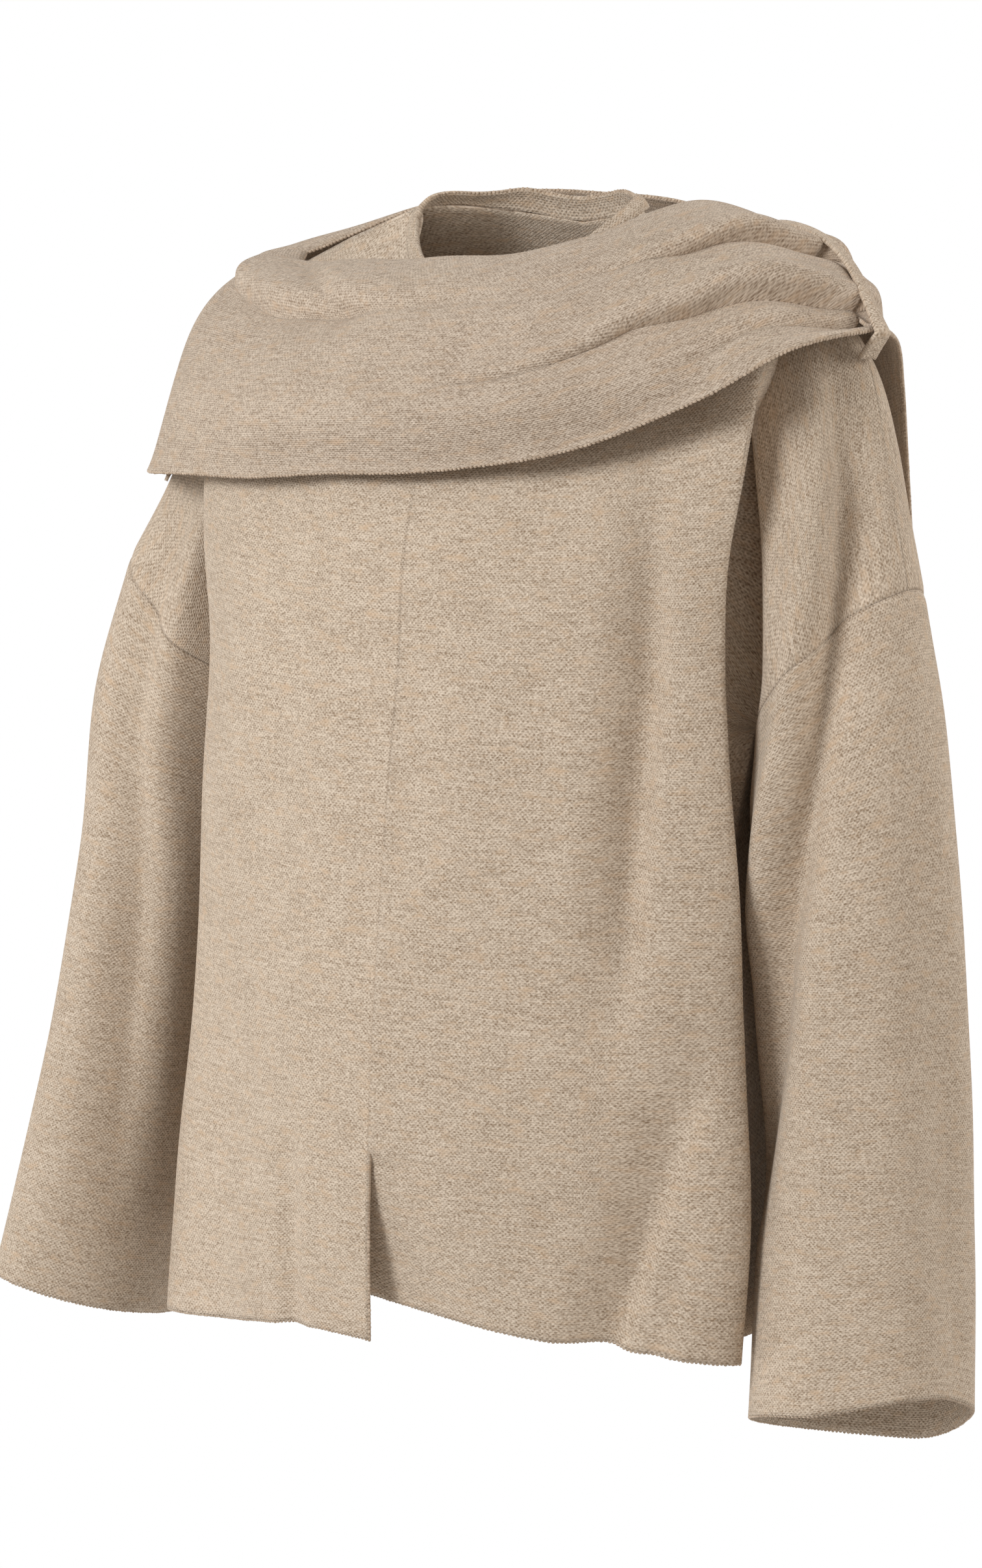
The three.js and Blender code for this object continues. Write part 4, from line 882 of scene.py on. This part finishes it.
def linear(*values):
    """Screen colour, 0 to 255, as the linear values that a shader takes."""
    return tuple((v / 255 / 12.92) if v <= 10.3 else ((v / 255 + 0.055) / 1.055) ** 2.4 for v in values)


BODY_KNIT = knit_material("body knit", linear(231, 215, 196), linear(155, 133, 110), 0.3, 1.3)
SCARF_KNIT = knit_material("scarf knit", linear(223, 207, 189), linear(150, 129, 109), 0.5, 1.2)
for node_name, piece in cloth.items():
    piece.data.materials.append(SCARF_KNIT if node_name.startswith("scarf") else BODY_KNIT)
print("materials:", [m.name for m in (BODY_KNIT, SCARF_KNIT)])

# %% [markdown]
# ## The neckband
#
# The neckband is a low stand of the same knit. It follows the neckline a few millimetres inside it and leans
# in a little. Beside the neck, where the neckline has its corners, it is lower and rounded off, because a
# band of knit can't turn sharply.

# %% Neckband
NECKBAND_HEIGHT, NECKBAND_DIP = 13, 7  # it is lower beside the neck
NECKBAND_WALL, NECKBAND_INSET, NECKBAND_LEAN = 2.8, 3.0, 5


def neck_ring(count):
    """The neckline as a closed curve, from the middle of the back over the left side."""
    centre, quarter, shoulder = NECK_AND_SHOULDER[:3]
    front, back = [0, 1, 2], [0, 3, 4]
    corners = np.array([row[columns] * np.array([side, 1, 1]) for row, side, columns in (
        (centre, 1, back), (quarter, 1, back), (shoulder, 1, back), (quarter, 1, front),
        (centre, 1, front), (quarter, -1, front), (shoulder, -1, back), (quarter, -1, back))])
    wrapped = np.vstack([corners[-1:], corners, corners[:2]])
    return spaced_curve(wrapped, np.linspace(0, len(corners), count, endpoint=False))


def neckband(name, count=180, bands=10):
    """The band that stands on the neckline, as a closed strip."""
    foot = neck_ring(count)
    rounded = foot
    for _ in range(50):  # a band of knit cannot turn a sharp corner
        rounded = rounded / 2 + (np.roll(rounded, 1, 0) + np.roll(rounded, -1, 0)) / 4
    # only beside the neck, where the neckline has its corners
    foot = foot + (rounded - foot) * smoothstep((np.abs(foot[:, :1]) - 38) / 26)
    inwards = -foot * np.array([1, 1, 0])
    inwards /= np.linalg.norm(inwards, axis=1, keepdims=True)
    foot = foot + inwards * NECKBAND_INSET
    share = np.linspace(0, 1, bands + 1)[:, None, None]
    roll = np.sin(np.pi * share) * 0.8
    tall = NECKBAND_HEIGHT - NECKBAND_DIP * smoothstep((np.abs(foot[:, 0]) - 30) / 30)
    up = np.array([0, 0, 1]) * tall[:, None]
    points = foot[None] + inwards[None] * (NECKBAND_LEAN * share - roll) + up[None] * share
    points = np.concatenate([points, points[:, :1]], 1)
    sheet = Sheet()
    sheet.patch(points, knit_places(points), True)
    return wall_mesh(name, sheet, NECKBAND_WALL, BODY_KNIT)


cloth["neckband"] = neckband("knit_neckband")
print("neckband faces:", len(cloth["neckband"].data.polygons))

# %% [markdown]
# ## The straps
#
# The straps are narrow strips, folded double and sewn down at both ends. Each is a band of points laid on the
# surface under it: the left one runs over the scarf and turns round its two edges to its seams, and the right
# one lies on the upper arm.

# %% Straps
STRAP_WIDTH, STRAP_WALL, STRAP_GAP = 18, 2.2, 0.75
STRAP_SLANT = 0.28  # the upper end lies this much further back, in rows of the scarf's table
STRAP_FROM, STRAP_TO = 1.035, -0.035  # it passes the scarf's two edges, which are at 1 and 0
STRAP_TURN = 2 / 12  # share of its length that turns round an edge and runs to the seam
STRAP_STEP, STRAP_REACH = 0.05, 90  # step for finding directions, and the scarf's width near the strap
STRAP_TOP, STRAP_FOOT = np.array([129.0, 20, -26]), np.array([218.6, -8, -80])
RIGHT_STRAP = (0.2, 0.72, math.radians(26))  # from and to along the arm, and the angle round it


def scarf_near_strap(at, across):
    """A point of the scarf where its front runs over into its tail."""
    last = len(SCARF_FRONT) - 1
    at, across = np.array([at], float), np.array([across], float)
    if at[0] <= last:
        return scarf_surface(SCARF_FRONT, at, across)[0]
    return scarf_surface(SCARF_TAIL, at - last, across)[0]


def left_strap_point(along, offset):
    """A point of the left strap: how far along it, and how far from its middle line."""
    on_scarf = min(1.0, max(0.0, (along - STRAP_TURN) / (1 - 2 * STRAP_TURN)))
    across = STRAP_FROM + (STRAP_TO - STRAP_FROM) * on_scarf
    inside = min(1.0, max(0.0, across))
    last = len(SCARF_FRONT) - 1
    row_length = np.linalg.norm(scarf_near_strap(last, inside) - scarf_near_strap(last - 1, inside))
    at = last - offset / row_length + STRAP_SLANT * (1 - along)
    point = scarf_near_strap(at, inside)
    up = scarf_near_strap(at, min(1, inside + STRAP_STEP)) - scarf_near_strap(at, max(0, inside - STRAP_STEP))
    travel = scarf_near_strap(at + STRAP_STEP, inside) - scarf_near_strap(at - STRAP_STEP, inside)
    out = unit(np.cross(travel, up))
    point = point + unit(up) * (across - inside) * STRAP_REACH + out * (STRAP_GAP + STRAP_WALL)
    turned = 1 - min(along, 1 - along) / STRAP_TURN
    if turned <= 0:
        return point
    end = (STRAP_TOP if along < 0.5 else STRAP_FOOT) - unit(travel) * offset
    return point + (end - point) * turned


def right_strap_point(along, offset):
    """A point of the right strap, which lies on a ring round the upper arm."""
    rings = ARM_RINGS[-1]
    at = (RIGHT_STRAP[0] + (RIGHT_STRAP[1] - RIGHT_STRAP[0]) * along) * (len(rings) - 1)
    angle = RIGHT_STRAP[2] + offset / between(rings, at)[0, 5]
    point = arm_point(rings, np.array([at]), np.array([angle]))[0]
    point += unit(np.array([math.cos(angle), -math.sin(angle), 0.35])) * (STRAP_GAP + STRAP_WALL)
    return point * np.array([-1, 1, 1])


def strap(name, point_at, columns=72, bands=8):
    """A strap whose points come from one of the two functions above."""
    points = np.array([[point_at(i / columns, (j / bands - 0.5) * STRAP_WIDTH) for j in range(bands + 1)]
                       for i in range(columns + 1)])
    sheet = Sheet()
    sheet.patch(points, knit_places(points), False)
    return wall_mesh(name, sheet, STRAP_WALL, BODY_KNIT)


cloth["strap_left"] = strap("knit_strap_left", left_strap_point)
cloth["strap_right"] = strap("knit_strap_right", right_strap_point)
print("faces in a strap:", len(cloth["strap_left"].data.polygons))

# %% [markdown]
# ## Linked edges
#
# The raw edges of this knit are linked: the yarn comes over the edge in a row of small loops, which look like
# fine teeth from the side. The loops repeat along a path, so Geometry Nodes lay them: the edge becomes a
# curve, the curve gets a point every few millimetres, and a small bead of yarn stands on each point, turned
# along the edge and a little different every time.

# %% Yarn and a bead of it
def yarn_material():
    """The yarn of the edges, a little darker than the knit: painted shade, since the loops sit in shadow
    along the edges. It has no UV map, so its flecks are placed in space.
    """
    material = bpy.data.materials.new("edge yarn with painted shade")
    material.use_nodes = True
    tree = material.node_tree
    shader = tree.nodes["Principled BSDF"]
    shader.inputs["Roughness"].default_value = 0.95
    shader.inputs["Specular IOR Level"].default_value = 0.12
    shader.inputs["Sheen Weight"].default_value = 0.2
    place = tree.nodes.new("ShaderNodeTexCoord")
    fuzz = tree.nodes.new("ShaderNodeTexNoise")
    fuzz.inputs["Scale"].default_value = 420
    fuzz.inputs["Detail"].default_value = 2
    tree.links.new(place.outputs["Object"], fuzz.inputs["Vector"])
    ramp = tree.nodes.new("ShaderNodeValToRGB")
    # Both colours are a little darker than the knit's yarn: painted shade for loops that sit in shadow.
    ramp.color_ramp.elements[0].color = (*linear(166, 146, 126), 1)
    ramp.color_ramp.elements[0].position = 0.3
    ramp.color_ramp.elements[1].color = (*linear(216, 198, 178), 1)
    ramp.color_ramp.elements[1].position = 0.7
    tree.links.new(fuzz.outputs[0], ramp.inputs[0])
    tree.links.new(ramp.outputs[0], shader.inputs["Base Color"])
    return material


SHADED_EDGE_YARN = yarn_material()


def bead_mesh():
    """A drop of yarn, one millimetre in radius, with a few dozen faces."""
    mesh = bpy.data.meshes.new("bead")
    rings, sides, points, faces = 4, 7, [], []
    for i in range(rings + 1):
        polar = math.pi * (0.06 + 0.88 * i / rings)
        for j in range(sides):
            turn = 2 * math.pi * j / sides
            points.append((math.sin(polar) * math.cos(turn) * MM, math.sin(polar) * math.sin(turn) * MM,
                           math.cos(polar) * MM))
    for i in range(rings):
        for j in range(sides):
            k = (j + 1) % sides
            faces.append((i * sides + j, (i + 1) * sides + j, (i + 1) * sides + k, i * sides + k))
    faces += [tuple(range(sides)), tuple(reversed(range(rings * sides, (rings + 1) * sides)))]
    mesh.from_pydata(points, [], faces)
    mesh.polygons.foreach_set("use_smooth", [True] * len(mesh.polygons))
    return mesh


BEAD = bpy.data.objects.new("bead", bead_mesh())
print("faces in a bead:", len(BEAD.data.polygons))

# %% [markdown]
# ### The tree of nodes
#
# The tree takes a line of edge pieces and gives back the beads as one mesh. Spacing, size and seed are inputs
# of the tree, so that each edge can have its own.

# %% The tree of nodes
def loops_tree():
    """Nodes that turn a line into a row of beads."""
    tree = bpy.data.node_groups.new("edge loops", "GeometryNodeTree")
    sockets = [("Geometry", "INPUT", "NodeSocketGeometry", None),
               ("Spacing", "INPUT", "NodeSocketFloat", 0.0024), ("Size", "INPUT", "NodeSocketFloat", 1.0),
               ("Seed", "INPUT", "NodeSocketInt", 1), ("Geometry", "OUTPUT", "NodeSocketGeometry", None)]
    for label, way, kind, value in sockets:
        made = tree.interface.new_socket(label, in_out=way, socket_type=kind)
        if value is not None:
            made.default_value = value
    node = tree.nodes.new
    start, end = node("NodeGroupInput"), node("NodeGroupOutput")
    curve, even = node("GeometryNodeMeshToCurve"), node("GeometryNodeResampleCurve")
    even.mode = "LENGTH"
    spread, bead = node("GeometryNodeInstanceOnPoints"), node("GeometryNodeObjectInfo")
    bead.inputs["Object"].default_value = BEAD
    tangent, aim = node("GeometryNodeInputTangent"), node("FunctionNodeAlignRotationToVector")
    aim.axis = "X"
    sizes, grow = node("FunctionNodeRandomValue"), node("ShaderNodeVectorMath")
    sizes.data_type = "FLOAT_VECTOR"
    sizes.inputs["Min"].default_value = (0.85, 0.75, 0.75)
    sizes.inputs["Max"].default_value = (1.25, 1.1, 1.1)
    grow.operation = "SCALE"
    real, paint = node("GeometryNodeRealizeInstances"), node("GeometryNodeSetMaterial")
    paint.inputs["Material"].default_value = SHADED_EDGE_YARN
    for source, target in [
        (start.outputs["Geometry"], curve.inputs["Mesh"]), (curve.outputs[0], even.inputs["Curve"]),
        (start.outputs["Spacing"], even.inputs["Length"]), (even.outputs[0], spread.inputs["Points"]),
        (bead.outputs["Geometry"], spread.inputs["Instance"]), (tangent.outputs[0], aim.inputs["Vector"]),
        (aim.outputs[0], spread.inputs["Rotation"]), (start.outputs["Seed"], sizes.inputs["Seed"]),
        (sizes.outputs["Value"], grow.inputs[0]), (start.outputs["Size"], grow.inputs["Scale"]),
        (grow.outputs[0], spread.inputs["Scale"]), (spread.outputs[0], real.inputs[0]),
        (real.outputs[0], paint.inputs["Geometry"]), (paint.outputs[0], end.inputs["Geometry"]),
    ]:
        tree.links.new(source, target)
    return tree


LOOPS = loops_tree()
print("nodes in the tree:", len(LOOPS.nodes))

# %% [markdown]
# ### Which edges get loops
#
# Only raw edges get loops: the hems, the cuffs, the highest stretch of the neckband and the two long sides of
# the scarf. Where pieces are sewn together there is a seam instead. The hems, the cuffs and the neckband's
# edge are found by their height, and the scarf's long sides by leaving out the ends, where stretches meet.

# %% Laying the loops
def edge_loops(name, pairs, spacing=2.5, size=1.15, seed=1):
    """Loops of yarn along the given edge pieces, which are pairs of points in millimetres."""
    points = np.round(pairs.reshape(-1, 3), 3)
    corners, same = np.unique(points, axis=0, return_inverse=True)
    line = bpy.data.meshes.new(name)
    line.from_pydata((corners * MM).tolist(), same.reshape(-1, 2).tolist(), [])
    path = bpy.data.objects.new(name + "_path", line)
    bpy.context.scene.collection.objects.link(path)
    layer = path.modifiers.new("loops", "NODES")
    layer.node_group = LOOPS
    values = {"Spacing": spacing * MM, "Size": size, "Seed": seed}
    for item in LOOPS.interface.items_tree:
        if item.item_type == "SOCKET" and item.in_out == "INPUT" and item.name in values:
            layer[item.identifier] = values[item.name]
    evaluated = path.evaluated_get(bpy.context.evaluated_depsgraph_get())
    mesh = bpy.data.meshes.new_from_object(evaluated)
    mesh.name = name
    bpy.data.objects.remove(path)
    mesh.polygons.foreach_set("use_smooth", [True] * len(mesh.polygons))
    made = bpy.data.objects.new(name, mesh)
    bpy.context.scene.collection.objects.link(made)
    return made


def edges_within(name, low, high):
    """The free edges of a piece that lie between two heights."""
    height = free_edges[name][:, :, 2]
    return free_edges[name][((height > low) & (height < high)).all(1)]


def long_scarf_edge(name, rows):
    """Only the two long edges of a stretch, not the ends where it meets the next stretch."""
    pairs = free_edges[name]
    middle, step = pairs.mean(1), pairs[:, 1] - pairs[:, 0]
    keep = np.ones(len(pairs), bool)
    for end in (rows[0], rows[-1]):
        low, width = end[0:3], end[3:6] - end[0:3]
        length = np.linalg.norm(width)
        along = ((middle - low) @ width) / length ** 2
        foot = low + width * np.clip(along, 0, 1)[:, None]
        crosses = np.abs((step @ width) / length) > 0.5 * np.linalg.norm(step, axis=1)
        near = (np.linalg.norm(middle - foot, axis=1) < 45) & (along > -0.02) & (along < 1.02)
        keep &= ~(near & crosses)
    return pairs[keep]


HEM, CUFF, NECK_EDGE = (-900, -560), (-900, -600), (0.0, 100)  # heights between which these edges lie
raw_edges = {node_name: edges_within("knit_" + node_name, *heights) for node_name, heights in (
    ("front_left", HEM), ("front_right", HEM), ("back", HEM), ("sleeve_left", CUFF), ("sleeve_right", CUFF),
    ("neckband", NECK_EDGE))}
for node_name, rows in (("scarf_front", SCARF_FRONT), ("scarf_back", SCARF_BACK), ("scarf_tail", SCARF_TAIL)):
    raw_edges[node_name] = long_scarf_edge("knit_" + node_name, rows)
loops = {}
for number, (node_name, pairs) in enumerate(raw_edges.items()):
    loops[node_name] = edge_loops("loops_" + node_name, pairs, seed=number + 1)
    print("edge loops on", node_name, "faces:", len(loops[node_name].data.polygons))

# %% [markdown]
# ## Joining the pieces to the frame
#
# Every piece of cloth takes the place of its CAD node and rides on the one body that the garment is, and the
# area of its cloth is printed.

# %% Pieces on the body
def face_area(piece):
    """Area of the cloth: half of all faces, because the wall has two."""
    return sum(p.area for p in piece.data.polygons) / 2


for node_name, piece in cloth.items():
    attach(piece, "root")
    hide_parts(node_name)
    print(node_name, "cloth in square metres:", round(face_area(piece), 4))
for node_name, piece in loops.items():
    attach(piece, "root")

# %% [markdown]
# ## Floor and light
#
# A pale floor and a big soft light in front keep the colours true and the shadows soft. The weaker lights
# stand to one side, low to the other side, and behind. They reach the outsides of the sleeves but not the
# folds beside the arms, so those stay dark. A warm light from all round stands for a bright room.

# %% Floor
def plain_material(name, colour, roughness):
    """A material of one colour."""
    material = bpy.data.materials.new(name)
    material.use_nodes = True
    shader = material.node_tree.nodes["Principled BSDF"]
    shader.inputs["Base Color"].default_value = (*colour, 1)
    shader.inputs["Roughness"].default_value = roughness
    return material


FLOOR_Z, FLOOR_SIZE = -1.35, 0.85
floor_mesh = bpy.data.meshes.new("floor")
corners = [(-FLOOR_SIZE, -FLOOR_SIZE, FLOOR_Z), (FLOOR_SIZE, -FLOOR_SIZE, FLOOR_Z),
           (FLOOR_SIZE, FLOOR_SIZE, FLOOR_Z), (-FLOOR_SIZE, FLOOR_SIZE, FLOOR_Z)]
floor_mesh.from_pydata(corners, [], [(0, 1, 2, 3)])
floor_mesh.materials.append(plain_material("pale floor", (0.86, 0.86, 0.86), 0.9))
floor = bpy.data.objects.new("floor", floor_mesh)
bpy.context.scene.collection.objects.link(floor)
print("floor at", FLOOR_Z, "m")

# %% Lights
def area_light(name, place, target, size, power, colour=(1, 1, 1)):
    """A round light at a place, turned to its target, with a size in metres and a power in watts."""
    data = bpy.data.lights.new(name, "AREA")
    data.shape, data.size, data.energy, data.color = "DISK", size, power, colour
    made = bpy.data.objects.new(name, data)
    made.location = place
    direction = np.array(target) - np.array(place)
    made.rotation_euler = Vector(direction).to_track_quat("-Z", "Y").to_euler()
    bpy.context.scene.collection.objects.link(made)
    return made


CHEST = (0.0, -0.05, -0.30)
area_light("key light", (-0.85, -3.2, 1.25), CHEST, 1.4, 86, (0.985, 0.995, 1.0))
area_light("fill light", (3.0, 0.8, 0.6), CHEST, 2.2, 38, (1.0, 0.97, 0.93))
area_light("left light", (-3.1, -0.9, -1.3), CHEST, 1.8, 20, (1.0, 0.98, 0.95))
area_light("back light", (0.5, 3.2, 1.6), CHEST, 2.4, 44)
world = bpy.data.worlds.new("studio")
bpy.context.scene.world = world
world.use_nodes = True
wtree = world.node_tree
backdrop = wtree.nodes["Background"]
backdrop.inputs["Color"].default_value = (1.0, 0.93, 0.86, 1)
backdrop.inputs["Strength"].default_value = 0.42
seen = wtree.nodes.new("ShaderNodeBackground")
seen.inputs["Color"].default_value = (1, 1, 1, 1)
rays = wtree.nodes.new("ShaderNodeLightPath")
choice = wtree.nodes.new("ShaderNodeMixShader")
wtree.links.new(rays.outputs["Is Camera Ray"], choice.inputs[0])
wtree.links.new(backdrop.outputs[0], choice.inputs[1])
wtree.links.new(seen.outputs[0], choice.inputs[2])
wtree.links.new(choice.outputs[0], wtree.nodes["World Output"].inputs[0])
bpy.context.scene.view_settings.view_transform = "Standard"
print("lights:", [light.name for light in bpy.data.lights])

# %% [markdown]
# ## The camera
#
# Where the camera stands was worked out from the picture: the outlines of the two sleeves, the hem and the
# scarf only fit from here. It is a long lens more than two metres away, to the garment's left and a little
# above its middle.

# %% Camera
AZIMUTH, ELEVATION, DISTANCE = math.radians(31), math.radians(10.5), 2.300
TARGET = np.array([-19.3, -11.6, -340.0]) * MM
LENS, SENSOR = 89.83, 36.0
back_way = np.array([math.sin(AZIMUTH) * math.cos(ELEVATION), -math.cos(AZIMUTH) * math.cos(ELEVATION),
                     math.sin(ELEVATION)])
camera_data = bpy.data.cameras.new("camera")
camera_data.lens, camera_data.sensor_width, camera_data.sensor_fit = LENS, SENSOR, "AUTO"
camera = bpy.data.objects.new("camera", camera_data)
camera.location = TARGET + back_way * DISTANCE
camera.rotation_euler = Vector(-back_way).to_track_quat("-Z", "Y").to_euler()
bpy.context.scene.collection.objects.link(camera)
bpy.context.scene.camera = camera
print("camera at", [round(v, 3) for v in camera.location])
